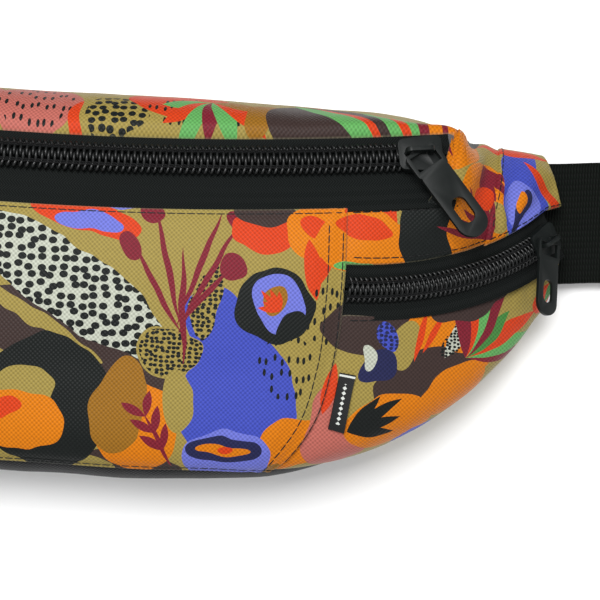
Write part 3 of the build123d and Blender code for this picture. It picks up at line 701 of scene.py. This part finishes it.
def noise_at(points, scale, seed):
    """Smooth noise from -1 to 1 at points in mm."""
    flat = points.reshape(-1, 3) / scale + seed * 17.3
    return vector([noise.noise(p) for p in flat.tolist()]).reshape(points.shape[:-1])


def edge_distance(points):
    """Distance in mm of each grid point from the grid's left, right, bottom and top edges."""
    along = np.linalg.norm(np.diff(points, axis=1), axis=2)
    up = np.linalg.norm(np.diff(points, axis=0), axis=2)
    left = np.concatenate([np.zeros((points.shape[0], 1)), np.cumsum(along, axis=1)], axis=1)
    low = np.concatenate([np.zeros((1, points.shape[1])), np.cumsum(up, axis=0)], axis=0)
    return left, left[:, -1:] - left, low, low[-1:] - low


def round_edge(distance, radius):
    """How far cloth drops where it folds under at an edge."""
    inside = np.clip(1 - distance / radius, 0, 1)
    return radius * (1 - np.sqrt(np.maximum(1 - inside ** 2, 0)))


WORN_FOLD = 0.8         # edges folded at least this round have a paler, worn rim


def panel(name, nodes, x, t, folds, puff, lift, material, extra=None, rows=()):
    """A sewn shell panel over (x, t): puffed between its edges, folded under where folds says so,
    and pulled down along its stitch rows, each given as (edge number, distance from the edge)."""
    base, normal = skin(x, t)
    edges = edge_distance(base)
    nearest = np.minimum.reduce(edges)
    height = lift + puff * (1 - np.exp(-nearest / 9.0))
    height = height + noise_at(base, 26, 1) * 0.55 * np.clip(nearest / 12, 0, 1)
    height = height + noise_at(base, 9, 2) * 0.16 * np.clip(nearest / 5, 0, 1)
    for distance, fold in zip(edges, folds):
        if fold:
            height = height - round_edge(distance, fold)
    for edge, place in rows:
        height = height - 0.38 * np.exp(-((edges[edge] - place) / 0.75) ** 2)
    if extra is not None:
        height = height + extra(base, nearest)
    spread = np.stack([x + 0 * t, cloth_height(x, t)], axis=-1)
    piece = grid_piece(name, base + normal * height[..., None], spread, material)
    rim = np.zeros(nearest.shape)
    for distance, fold in zip(edges, folds):
        if fold >= WORN_FOLD:
            rim = np.maximum(rim, np.clip(1 - distance / 0.5, 0, 1))
    piece.data.attributes.new("rim", "FLOAT", "POINT").data.foreach_set("value", rim.ravel())
    thicken(piece, 1.3)
    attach(piece, "pack")
    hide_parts(*nodes)
    return piece


# Seams seen from the front, as (height, distance from the middle).
SIDE_SEAM = vector([(-64, 68), (-54, 76.5), (-40, 86.5), (-22, 91.6), (-1, 93), (27, 92.6)])
GUSSET_END, GUSSET_RISE = 104.0, 49.5


def side_seam_x(y):
    return hermite(SIDE_SEAM[:, 0], SIDE_SEAM[:, 1], np.asarray(y, float))


def gusset_t(x):
    """Where the black gusset meets the printed panels."""
    wide = np.clip(np.abs(np.asarray(x, float)) / GUSSET_END, 0, 1)
    height = GUSSET_RISE * np.sqrt(np.maximum(1 - wide ** 5, 0))
    return find_t(x, height, 1, T_FINE[T_FINE < KNOTS[3]])


def zip_edge(across):
    """(x, t) along an edge of the right-hand side zipper's band."""
    angles = np.linspace(side_start, side_stop, 40)
    points = side_track.place(angles, across, 0.0)
    return points[:, 0], t_at(points[:, 0], points[:, 1])


side_first = vector((94, 2, 50.9)) - side_track.centre
side_start = degrees(atan2(side_first @ side_track.along, side_first @ side_track.outward))
side_stop = side_track.end + side_track.degrees_for(7)
SLIT_LOW = zip_edge(SIDE_BAND[0] + 0.6)
SLIT_HIGH = zip_edge(SIDE_BAND[1] - 0.6)


def slit_t(edge, x):
    """The side zipper's edge at x, carried on level to the belt seam."""
    return np.interp(x, edge[0], edge[1])


def top_limit(x):
    """Upper boundary of the side panels: below the main zipper, round its end, and over the top."""
    x = np.asarray(x, float)
    round_end = np.clip((x - 112) / 11.5, 0, 1) ** 3.2
    over = np.clip((x - 123.5) / 6.5, 0, 1)
    return T_BAND_LOW + (T_BAND_HIGH - T_BAND_LOW) * round_end + (1 - T_BAND_HIGH) * over * (2 - over)


def front_centre():
    """The middle panel below the main zipper, double-stitched down both sides."""
    low_y, high_y = -57.0, 21.6
    b = spaced(80, 1.7)[:, None]
    a = spaced(180, 1.8)[None, :]
    seam = side_seam_x(low_y + (high_y - low_y) * b)
    x = -seam + 2 * seam * a
    bottom = gusset_t(x[0])[None, :]
    t = bottom + (T_BAND_LOW - bottom) * b

    def sag(base, nearest):
        droop = -0.5 * np.exp(-((base[..., 1] - 6) / 18) ** 2) * np.cos(base[..., 0] / 31)
        return droop * np.clip(nearest / 10, 0, 1)
    return panel("front_centre_cloth", ["front_centre_panel"], x, t, (1.1, 1.1, 0.9, 1.1), 1.3, 1.1,
                 centre_print, sag,
                 [(0, 2.4), (0, 6.7), (1, 2.4), (1, 6.7), (2, 1.9), (3, 1.7)])


def side_lower():
    """Below the side zipper, from the seam to the belt, creased towards its outer corner."""
    b = spaced(60, 1.8)[:, None]
    a = spaced(90, 1.8)[None, :]
    top_y = side_track.place(side_start, SIDE_BAND[0], 0.0)[1]
    seam = side_seam_x(-55 + (top_y + 55) * b) - 1.6
    end_t = slit_t(SLIT_LOW, 163 + 0 * b) * b
    end = belt_seam_x(skin(163 + 0 * b, end_t)[0][..., 1])
    x = seam + (end - seam) * a
    bottom = np.where(x[0] < GUSSET_END, gusset_t(x[0]), 0.0)[None, :]
    t = bottom + (slit_t(SLIT_LOW, x) - bottom) * b

    def creases(base, nearest):
        dx, dy = base[..., 0] - 150, base[..., 1] - 16
        reach = np.hypot(dx, dy)
        spokes = np.sin(np.arctan2(dy, dx) * 11 + 0.8)
        return spokes * 0.4 * np.exp(-(reach / 16) ** 2) * np.clip(nearest / 4, 0, 1)
    return panel("side_lower_cloth_right", ["side_panel_lower_right"], x, t,
                 (0, 0.4, 0.4, 0.9), 1.5, 0.0, side_print, creases)


def side_upper():
    """Between the two zippers, drawn into folds where the main zipper ends."""
    b = spaced(22, 1.5)[:, None]
    a = spaced(46, 1.1)[None, :]
    x = 91.4 + (139.5 + 2.5 * np.sin(b * pi * 0.6) - 91.4) * a
    bottom = slit_t(SLIT_HIGH, x)
    t = bottom + (top_limit(x) - bottom) * b

    def folds(base, nearest):
        px, py = base[..., 0], base[..., 1]
        pull = np.exp(-((px - 132) / 8) ** 2)
        lines = np.sin((px * 0.55 - py * 0.35) * 0.9)
        stand = (1.4 * np.exp(-((px - 125) / 5) ** 2) * np.clip((py - 30) / 8, 0, 1)
                 * np.clip((49 - py) / 5, 0, 1))
        return lines * 0.75 * pull * np.clip(nearest / 3, 0, 1) + stand
    return panel("side_upper_cloth_right", ["side_panel_upper_right"], x, t,
                 (0, 0, 0.9, 0.9), 1.0, 0.0, side_print, folds)


def belt_seam_x(y):
    """The shell's end at the belt seam, which curves in towards the top and the bottom."""
    y = np.asarray(y, float)
    return 164.2 - np.where(y > 20, 6.5 * ((y - 20) / 27) ** 2, 2.4 * ((20 - y) / 11.5) ** 2)


def wing():
    """The hip tab: gathered where it runs into the belt seam."""
    b = spaced(38, 1.2)[:, None]
    a = spaced(27, 1.0)[None, :]
    seam = 136.0 + 5.5 * np.sin(b * pi * 0.55)
    bottom = slit_t(SLIT_HIGH, 163 + 0 * b)
    end = belt_seam_x(skin(163 + 0 * b, bottom + (1 - bottom) * b)[0][..., 1])
    x = seam + (end - seam) * a
    bottom = slit_t(SLIT_HIGH, x)
    t = bottom + (1 - bottom) * b

    def gathers(base, nearest):
        dx, dy = base[..., 0] - 143, base[..., 1] - 21
        reach = np.hypot(dx, dy)
        spokes = np.sin(np.arctan2(dy, dx) * 10 + 1.2 + 0.05 * reach)
        near_belt = np.clip((base[..., 0] - 146) / 16, 0, 1)
        pleats = np.sin(base[..., 1] * 0.62 + 0.5 * np.sin(base[..., 0] * 0.2)) * near_belt
        return (spokes * 1.1 * np.clip(reach / 10, 0, 1) * np.exp(-(reach / 24) ** 2)
                + pleats * 0.9) * np.clip(nearest / 2.5, 0, 1)
    return panel("wing_cloth_right", ["side_panel_upper_right"], x, t,
                 (0.7, 0.3, 0.8, 0), 0.9, 0.7, side_print, gathers)


def top_roll():
    """The top panel: stuffed out so that it rolls over the zipper's upper tape."""
    b = spaced(60, 1.7)[:, None]
    a = spaced(258, 1.9)[None, :]
    reach = 124.5 + 7.0 * np.clip(b * 2.2, 0, 1)
    x = -reach + 2 * reach * a
    low = T_BAND_HIGH - 0.004
    t = low + (1 - low) * b

    def roll(base, nearest):
        over = np.exp(-((base[..., 2] - 45) / 9) ** 2)
        ends = np.clip((130 - np.abs(base[..., 0])) / 10, 0, 1)
        dents = noise_at(base * vector((1, 0.25, 0.25)), 13, 5)
        return (over * (2.0 + 0.9 * dents) * ends) * np.clip(nearest / 3, 0, 1)
    return panel("top_cloth", ["top_panel"], x, t, (0.8, 0.8, 1.2, 0), 1.1, 0.3, top_print, roll)


def gusset():
    """The black strip between the printed front and the back."""
    b = spaced(45, 2.2)[:, None]
    a = spaced(206, 2.4)[None, :]
    x = -GUSSET_END + 1 + 2 * (GUSSET_END - 1) * a
    t = (gusset_t(x[0])[None, :] + 0.012) * b + 0 * x
    x = x + 0 * b
    piece = panel("gusset_cloth", ["bottom_gusset"], x, t, (0, 0, 0, 0), 0.9, 0.0, black_cloth)


def back_cloth():
    """The flat back panel, padded with spacer mesh, rounded where it meets the shell."""
    a = spaced(328, 3.0)[None, :]
    b = spaced(112, 3.0)[:, None]
    x = HALF_WIDTH - 0.3 - 2 * (HALF_WIDTH - 0.3) * a + 0 * b
    low, high = skin(x[0], 0.0)[0][:, 1] + 1.0, skin(x[0], 1.0)[0][:, 1] - 1.0
    y = low[None, :] + (high - low)[None, :] * b
    flat = np.stack([x, y, 0 * x], axis=-1)
    nearest = np.minimum.reduce(edge_distance(flat))
    quilt = 0.55 * np.exp(-(np.abs((y - 2) % 28 - 14) / 1.6) ** 2) * np.clip(nearest / 8, 0, 1)
    flat[..., 2] = 0.1 + 1.6 * np.exp(-nearest / 1.4) + quilt
    piece = grid_piece("back_cloth", flat, np.stack([-x, y], axis=-1), back_mesh)
    thicken(piece, 1.6)
    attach(piece, "pack")
    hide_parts("back_panel")


def sewn_label():
    """A folded woven label caught in the seam, standing a little off the cloth."""
    v = spaced(17, 0.8)[:, None]
    u = spaced(4.4, 0.5, (0.2, 0.5))[None, :]
    foot = vector([(90.4, -39.6), (94.9, -40.4)])
    head = vector([(93.0, -22.8), (97.5, -23.4)])
    low = foot[0] + (foot[1] - foot[0]) * u[..., None]
    high = head[0] + (head[1] - head[0]) * u[..., None]
    plan = low + (high - low) * v[..., None]
    base, normal = skin(plan[..., 0], t_at(plan[..., 0], plan[..., 1]))
    curl = 1.5 + 0.5 * u * u + 0.25 * np.sin(v * 5 + u)
    spread = np.stack([u * 4.4 + 0 * v, v * 17 + 0 * u], axis=-1)
    piece = grid_piece("label_woven", base + normal * curl[..., None], spread, label_cloth)
    thicken(piece, 0.7)
    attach(piece, "pack")
    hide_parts("label_tag")


def mirror_piece(piece, node):
    """The left-hand twin of a right-hand panel."""
    twin = bpy.data.objects.new(piece.name.replace("right", "left"), piece.data.copy())
    scene.collection.objects.link(twin)
    mesh = bmesh.new()
    mesh.from_mesh(twin.data)
    for vertex in mesh.verts:
        vertex.co.x *= -1
    uv = mesh.loops.layers.uv["cloth"]
    for face in mesh.faces:
        for loop in face.loops:
            loop[uv].uv.x = 1 - loop[uv].uv.x
    bmesh.ops.reverse_faces(mesh, faces=mesh.faces)
    mesh.to_mesh(twin.data)
    mesh.free()
    smooth(twin, 60)
    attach(twin, "pack")
    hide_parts(node)
    return twin


# ---- stitching -----------------------------------------------------------------------

def surface_tree(pieces):
    vertices, faces = [], []
    for piece in pieces:
        start = len(vertices)
        vertices += [v.co.copy() for v in piece.data.vertices]
        faces += [[start + i for i in polygon.vertices] for polygon in piece.data.polygons]
    return BVHTree.FromPolygons(vertices, faces)


def stitch_shape():
    """One stitch, 1 unit long along x: a plump thread that dips at both ends."""
    bpy.ops.mesh.primitive_cylinder_add(vertices=6, radius=0.5, depth=1, rotation=(0, pi / 2, 0))
    stitch = bpy.context.object
    bpy.ops.object.transform_apply(location=False, rotation=True, scale=True)
    bpy.ops.object.mode_set(mode="EDIT")
    bpy.ops.mesh.select_all(action="SELECT")
    bpy.ops.mesh.subdivide(number_cuts=1)
    bpy.ops.object.mode_set(mode="OBJECT")
    apply_modifier(stitch, "SUBSURF", levels=1, render_levels=1)
    points = np.array([v.co for v in stitch.data.vertices])
    faces = [list(p.vertices) for p in stitch.data.polygons]
    bpy.data.objects.remove(stitch)
    points[:, 2] -= 0.3 * (points[:, 0] * 2) ** 4
    return points, faces


STITCH_LENGTH, STITCH_PITCH, THREAD = 2.95, 2.9, 0.42


def sew(name, lines, cloth):
    """Stitches along lines of (points, normals), each laid on the cloth under it."""
    tree = surface_tree(cloth)
    shape, shape_faces = stitch_shape()
    vertices, faces = [], []
    for points, normals in lines:
        steps = np.linalg.norm(np.diff(points, axis=0), axis=1)
        length = np.concatenate([[0], np.cumsum(steps)])
        for middle in np.arange(STITCH_PITCH / 2, length[-1], STITCH_PITCH):
            spot, ahead, behind = [vector([np.interp(place, length, points[:, k]) for k in range(3)])
                                   for place in (middle, middle + 1, middle - 1)]
            out = unit(vector([np.interp(middle, length, normals[:, k]) for k in range(3)]))
            way = unit(ahead - behind)
            out = unit(out - way * (out @ way))
            origin, down = Vector((spot + out * 9) * MM), Vector(-out)
            hit = tree.ray_cast(origin, down, 0.016)
            if hit[0] is None:
                continue
            base = vector(hit[0]) / MM
            side = np.cross(out, way)
            local = shape * vector((STITCH_LENGTH, THREAD, THREAD * 0.8))
            placed = (base + out * 0.02 + local[:, :1] * way + local[:, 1:2] * side + local[:, 2:] * out)
            start = len(vertices)
            vertices += (placed * MM).tolist()
            faces += [[start + i for i in face] for face in shape_faces]
    mesh = bpy.data.meshes.new(name)
    mesh.from_pydata(vertices, [], faces)
    mesh.materials.append(thread)
    piece = bpy.data.objects.new(name, mesh)
    scene.collection.objects.link(piece)
    smooth(piece, 60)
    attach(piece, "pack")


def centre_stitches(cloth):
    """Two rows along each side seam, and one along the top and the bottom."""
    lines = []
    y = np.linspace(-55.5, 20, 60)
    for inset in (1.3, 5.6):
        for sign in (-1, 1):
            x = sign * (side_seam_x(y) - inset)
            lines.append(skin(x, t_at(x, y)))
    x = np.linspace(-91, 91, 90)
    lines.append(skin(x, np.full(90, T_BAND_LOW - 0.0075)))
    x = np.linspace(-77, 77, 80)
    lines.append(skin(x, gusset_t(x) + 0.0085))
    sew("centre_panel_stitches", lines, [cloth])


def side_stitches(side, cloth):
    """Along both edges of the side zipper, the tab's seam, and under the main zipper's end."""
    lines = []
    for edge, offset in ((SLIT_LOW, -0.010), (SLIT_HIGH, 0.010)):
        x = np.linspace(95, 161, 60)
        lines.append(skin(x, slit_t(edge, x) + offset))
    b = np.linspace(0.03, 0.97, 40)
    x = 137.2 + 5.5 * np.sin(b * pi * 0.55)
    bottom = slit_t(SLIT_HIGH, x)
    lines.append(skin(x, bottom + (1 - bottom) * b))
    x = np.linspace(94, 121, 24)
    lines.append(skin(x, np.full(24, T_BAND_LOW - 0.0075)))
    if side == "left":
        lines = [(points * MIRROR, normals * MIRROR) for points, normals in lines]
    sew(f"side_stitches_{side}", lines, cloth)


# ---- zippers ---------------------------------------------------------------------------

def tape(name, node, track, across, start, end, size, sag, flip):
    """Woven tape along a zipper, a little hollow between the coil and the seam."""
    angle = np.linspace(start, end, max(int((end - start) / track.degrees_for(2.0)), 12))[None, :]
    width = np.linspace(across[0], across[1], 12)[:, None]
    share = (width - across[0]) / (across[1] - across[0])
    out = 0.35 * size - sag * np.sin(share * pi) + 0 * angle
    points = track.place(angle + 0 * width, width + 0 * angle, out)
    length = np.radians(angle) * track.radius + 0 * width
    spread = np.stack([length, width + 0 * angle], axis=-1)
    points = points * (MIRROR if flip else 1)
    piece = grid_piece(name, points, spread, tape_cloth)
    if flip:
        turn_faces(piece)
    thicken(piece, 0.7 * size)
    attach(piece, "pack")
    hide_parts(node)


def turn_faces(piece):
    choose(piece)
    bpy.ops.object.mode_set(mode="EDIT")
    bpy.ops.mesh.select_all(action="SELECT")
    bpy.ops.mesh.flip_normals()
    bpy.ops.object.mode_set(mode="OBJECT")


def tube(name, path, radius, sides, material):
    """A round wire along points in mm."""
    curve = bpy.data.curves.new(name, "CURVE")
    curve.dimensions = "3D"
    curve.bevel_depth = radius * MM
    curve.bevel_resolution = max((sides - 4) // 2, 0)
    curve.use_fill_caps = True
    spline = curve.splines.new("POLY")
    spline.points.add(len(path) - 1)
    for point, place in zip(spline.points, path):
        point.co = (*(vector(place) * MM), 1)
    piece = bpy.data.objects.new(name, curve)
    scene.collection.objects.link(piece)
    choose(piece)
    bpy.ops.object.convert(target="MESH")
    piece = bpy.context.object
    piece.data.materials.append(material)
    smooth(piece, 80)
    return piece


# One turn of the coil seen along the zipper, at size 1: (share of the turn's advance, across, out).
# It runs from the tape's side over the top, round the meshing head and back underneath.
COIL_TURN = vector([(0.00, 4.3, 1.1), (0.12, 3.95, 1.6), (0.28, 3.3, 1.85), (0.42, 2.5, 1.7),
                    (0.48, 1.9, 2.05), (0.50, 1.1, 2.5), (0.50, 0.2, 2.6), (0.50, -0.5, 2.3),
                    (0.50, -0.8, 1.5), (0.50, -0.5, 0.85), (0.50, 0.6, 0.6), (0.56, 2.2, 0.5),
                    (0.80, 3.7, 0.5)])


def coil(name, nodes, track, side, start, end, size, pitch, flip):
    """One helix of monofilament; its heads reach past the middle and mesh with the other coil's."""
    turns = int(np.radians(end - start) * track.radius / pitch)
    whole = np.repeat(np.arange(turns), len(COIL_TURN)) + (0.5 if side > 0 else 0.0)
    share, across, out = np.tile(COIL_TURN, (turns, 1)).T
    angle = start + track.degrees_for(pitch) * (whole + share)
    path = track.place(angle, side * across * size, out * size) * (MIRROR if flip else 1)
    piece = tube(name, path, 0.455 * size, 8, coil_nylon)
    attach(piece, "pack")
    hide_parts(*nodes)


def coil_cord(name, track, start, end, size, flip):
    """Rows of lockstitch that press each coil to its tape."""
    angle = np.arange(start, end, track.degrees_for(0.62))
    for number, across in enumerate((-2.75, -2.2, 2.2, 2.75)):
        beat = np.sin(np.arange(len(angle)) * pi / 1.5)
        path = track.place(angle, (across + 0.12 * beat) * size, (2.2 + 0.12 * beat) * size)
        path = path * (MIRROR if flip else 1)
        piece = tube(f"{name}_{number}", path, 0.26 * size, 4, thread)
        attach(piece, "pack")


def slider_shape(track, angle, size, flip):
    """Draws a slider's plates in towards the closed chain, where a real one is narrower."""
    tangent, across, face = track.frame_at(angle)
    origin = track.place(angle, 0.0, 0.0)
    turn = (MIRROR if flip else 1)

    def shape(points):
        local = points * turn - origin
        u, v, w = local @ tangent / size, local @ across / size, local @ face / size
        low = w < 4.2
        nose = np.clip(-u / 7.5, 0, 1)
        v = np.where(low, v * (0.92 - 0.2 * nose), v)
        u = np.where(low & (u < -3), -3 + (u + 3) * 0.66, u)
        placed = u[:, None] * tangent + v[:, None] * across + w[:, None] * face
        return (origin + placed * size) * turn
    return shape


def refine(name, node, body, material, bevel, shape=None):
    """A bevelled copy of a CAD node, with its flat faces whole again."""
    source = frame["nodes"][node]
    piece = bpy.data.objects.new(name, source.data.copy())
    scene.collection.objects.link(piece)
    mesh = bmesh.new()
    mesh.from_mesh(piece.data)
    bmesh.ops.remove_doubles(mesh, verts=mesh.verts, dist=1e-6)
    bmesh.ops.dissolve_limit(mesh, angle_limit=radians(3), verts=mesh.verts, edges=mesh.edges)
    if shape is not None:
        for vertex, place in zip(mesh.verts, shape(vector([v.co for v in mesh.verts]) / MM)):
            vertex.co = place * MM
    mesh.to_mesh(piece.data)
    mesh.free()
    piece.data.materials.clear()
    piece.data.materials.append(material)
    apply_modifier(piece, "BEVEL", width=bevel * MM, segments=3, limit_method="ANGLE",
                   angle_limit=radians(40), harden_normals=False)
    smooth(piece, 35)
    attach(piece, body)
    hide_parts(node)


def zipper(label, track, band, size, start, end, first, last, pitch, sags, side=""):
    """Tapes, coils and their sewing thread of one zipper."""
    flip = side == "_left"
    for edge, across, way, sag, stops in (
            ("lower", (band[0] - 1.2, -0.4), -1, sags[0], [f"{label}_stops{side}"]),
            ("upper", (0.4, band[1] + 1.2), 1, sags[1], [])):
        tape(f"{label}_tape_{edge}_web{side}", f"{label}_tape_{edge}{side}", track, across,
             start, end, size, sag, flip)
        coil(f"{label}_coil_{edge}_wire{side}", [f"{label}_coil_{edge}{side}", *stops], track, way,
             first, last, size, pitch, flip)
    coil_cord(f"{label}_coil_thread{side}", track, first, last, size, flip)


def bail(name, track, angle, size, body, flip):
    """The slider's bail: a smooth broad arch along the zipper for the puller's eye."""
    turn = np.linspace(0, pi, 15)
    along = np.concatenate([[-3.75], -3.75 * np.cos(turn) * np.abs(np.cos(turn)) ** -0.45, [3.75]])
    out = np.concatenate([[3.6], 5.3 + 3.0 * np.sin(turn) ** 0.6, [3.6]])
    tangent, across, face = track.frame_at(angle)
    origin = track.place(angle, 0.0, 0.0)
    path = origin + size * (along[:, None] * tangent + out[:, None] * face)
    piece = tube(name, path, 0.6 * size, 12, slider_lacquer)
    points = np.array([v.co for v in piece.data.vertices]) / MM - origin
    points = origin + points + (points @ across)[:, None] * across * 0.2
    points = points * (MIRROR if flip else 1) * MM
    piece.data.vertices.foreach_set("co", points.ravel())
    if flip:
        turn_faces(piece)
    smooth(piece, 80)
    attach(piece, body)


# ---- belt ------------------------------------------------------------------------------

BELT_Y, BELT_Z = 27.7, 6.0          # where the webbing leaves the pack
FAR_Y, FAR_Z = 127.0, 27.5          # its straight run on the far side, which stands on edge
TAB_START, BEND_START = 152.0, 180.0
BEND_RADIUS = (FAR_Y - BELT_Y) / 2
STRAIGHT, BEND = BEND_START - TAB_START, pi * BEND_RADIUS
WEBBING_HALF, WEBBING = 20.0, 1.6
DOUBLED = 2.2                       # from one layer of doubled webbing to the next
BUCKLE_Y, BAR_X = FAR_Y + DOUBLED, 34.0


def belt_frame(distance):
    """Place, width direction and thickness direction at a distance along the belt from its tab."""
    turn = np.clip((distance - STRAIGHT) / BEND, 0, 1) * pi
    way = np.stack([np.cos(turn), np.sin(turn), 0 * turn], axis=-1)
    inwards = np.stack([-np.sin(turn), np.cos(turn), 0 * turn], axis=-1)
    twist = np.minimum(turn, pi / 2)
    place = np.stack([BEND_START + BEND_RADIUS * way[..., 1], BELT_Y + BEND_RADIUS * (1 - way[..., 0]),
                      BELT_Z + (FAR_Z - BELT_Z) * np.sin(twist)], axis=-1)
    place = place + inwards * (2.0 * np.exp(-((distance - 30) / 17) ** 2))[..., None]
    before = np.minimum(distance - STRAIGHT, 0)
    after = np.maximum(distance - STRAIGHT - BEND, 0)
    place = place + way * (before + after)[..., None]
    width = inwards * np.cos(twist)[..., None] + vector((0, 0, 1)) * np.sin(twist)[..., None]
    return place, width, np.cross(way, width)


def ribbon(name, place, width_way, out_way, length, sign):
    """Webbing: a flat closed band with rounded, slightly scalloped edges."""
    half, thick = WEBBING_HALF, WEBBING / 2
    front = [(0.5 - half, thick), *[(v, thick + 0.05) for v in np.linspace(-half + 2, half - 2, 9)],
             (half - 0.5, thick), (half, 0.35), (half, -0.35)]
    back = [(-across, -out) for across, out in front]
    around = vector(front + back + front[:1])
    points = (place[None, :] + around[:, :1, None] * width_way[None, :]
              + around[:, 1:, None] * out_way[None, :])
    along = np.concatenate([[0], np.cumsum(np.linalg.norm(np.diff(place, axis=0), axis=1))])
    walk = np.concatenate([[0], np.cumsum(np.linalg.norm(np.diff(around, axis=0), axis=1))])
    spread = np.stack([np.broadcast_to(along[None, :] + length, points.shape[:2]),
                       np.broadcast_to(walk[:, None], points.shape[:2])], axis=-1)
    points = points * vector((sign, 1, 1))
    piece = grid_piece(name, points, spread, belt_webbing)
    mesh = bmesh.new()
    mesh.from_mesh(piece.data)
    bmesh.ops.remove_doubles(mesh, verts=mesh.verts, dist=1e-6)
    open_edges = [edge for edge in mesh.edges if edge.is_boundary]
    bmesh.ops.holes_fill(mesh, edges=open_edges, sides=0)
    bmesh.ops.recalc_face_normals(mesh, faces=mesh.faces)
    mesh.to_mesh(piece.data)
    mesh.free()
    smooth(piece, 50)
    return piece


def make_belt():
    """Each strap in two pieces, a root left loose at the tab and the rest carried by the belt, and the two
    doubled ends.
    """
    cut = STRAIGHT + BEND / 3
    full = STRAIGHT + BEND + BEND_START - BAR_X
    for side, sign in (("right", 1), ("left", -1)):
        root = np.linspace(2, cut, 46)
        piece = ribbon(f"webbing_root_{side}", *belt_frame(root), 2, sign)
        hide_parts(f"belt_tab_{side}")
        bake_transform(piece)
        rest = np.concatenate([np.linspace(cut, STRAIGHT + BEND, 60),
                               np.linspace(STRAIGHT + BEND, full, 40)[1:]])
        piece = ribbon(f"webbing_{side}", *belt_frame(rest), cut, sign)
        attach(piece, "belt")
        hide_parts(f"belt_strap_{side}")
    for name, node, end, sign in (("webbing_sewn_return", "belt_return", 76, -1),
                                  ("webbing_tail", "belt_tail", 142, 1)):
        bow = np.linspace(-pi / 2, -3 * pi / 2, 12)
        arc = np.stack([BAR_X + DOUBLED * np.cos(bow), BUCKLE_Y + DOUBLED * np.sin(bow),
                        FAR_Z + 0 * bow], axis=-1)
        run = np.linspace(BAR_X + 2, end, 30)
        sag = 0.5 * np.sin((run - BAR_X) / (end - BAR_X) * pi)
        back = np.stack([run, BUCKLE_Y + DOUBLED - sag, FAR_Z + 0 * run], axis=-1)
        place = np.concatenate([arc, back])
        way = unit(np.gradient(place, axis=0))
        width = np.broadcast_to(vector((0, 0, 1)), place.shape)
        piece = ribbon(name, place, width, np.cross(way, width), 0, sign)
        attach(piece, "belt")
        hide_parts(node)


# ---- assembly ----------------------------------------------------------------------------

place_camera()
lay_floor()
hang_lights()

centre_print = make_material("printed polyester oxford, centre", printed_oxford, (-14, 95), (-66, 26))
top_print = make_material("printed polyester oxford, top", printed_oxford, (-14, 134), (38, 110))
side_print = make_material("printed polyester oxford, sides", printed_oxford, (90, 166), (-95, 110))
black_cloth = make_material("black polyester oxford", black_oxford)
back_mesh = make_material("black polyester spacer mesh", spacer_mesh)
tape_cloth = make_material("black polyester zipper tape", zipper_tape)
coil_nylon = make_material("black nylon monofilament", nylon_coil)
slider_lacquer = make_material("black lacquered zinc", lacquered_zinc)
buckle_acetal = make_material("black moulded acetal", acetal)
belt_webbing = make_material("black polypropylene webbing", webbing_weave)
thread = make_material("black bonded polyester thread", sewing_thread)
label_cloth = make_material("black damask label", woven_label)
lining = make_material("grey polyester lining", lining_cloth)

centre = front_centre()
top_roll()
gusset()
back_cloth()
right = [side_lower(), side_upper(), wing()]
left = [mirror_piece(piece, f"side_panel_{node}_left")
        for piece, node in zip(right, ("lower", "upper", "upper"))]
centre_stitches(centre)
side_stitches("right", right)
side_stitches("left", left)

slider_rest = main_track.degrees_for(113)
coil_end = slider_rest + main_track.degrees_for(SLIDER_ROOM)
zipper("main_zip", main_track, MAIN_BAND, 1.0, -MAIN_ZIP_END, MAIN_ZIP_END, -coil_end, coil_end, 1.87,
       (0.9, 0.3))
side_rest = side_track.end - side_track.degrees_for(2.2)
for side in ("_right", "_left"):
    zipper("side_zip", side_track, SIDE_BAND, SIDE_SIZE, side_start - side_track.degrees_for(1.5), side_stop,
           side_start - side_track.degrees_for(0.6),
           side_rest + side_track.degrees_for(SLIDER_ROOM * SIDE_SIZE), 1.6, (0.4, 0.4), side)
for zip_name, side, track, angle, size in (("main", "", main_track, slider_rest, 1.0),
                                           ("side", "_right", side_track, side_rest, SIDE_SIZE),
                                           ("side", "_left", side_track, side_rest, SIDE_SIZE)):
    node, flip = f"{zip_name}_slider{side}", side == "_left"
    bail(f"{zip_name}_slider_bail{side}", track, angle, size, node, flip)
    refine(f"{node}_cast", node, node, slider_lacquer, 0.5 * size,
           slider_shape(track, angle, size, flip))
for node in ("main_puller", "side_puller_right", "side_puller_left"):
    refine(f"{node}_cast", node, node, slider_lacquer, 0.6)
for node, body in (("buckle_receiver", "belt"), ("buckle_prongs", "belt"),
                   ("buckle_arm_upper", "buckle_arm_upper"), ("buckle_arm_lower", "buckle_arm_lower")):
    refine(f"{node}_moulded", node, body, buckle_acetal, 0.5)
refine("strap_keeper_loop", "strap_keeper", "strap_keeper", buckle_acetal, 0.4)

make_belt()

for node in ("main_lining", "pocket_divider"):
    frame["nodes"][node].data.materials.clear()
    frame["nodes"][node].data.materials.append(lining)
sewn_label()
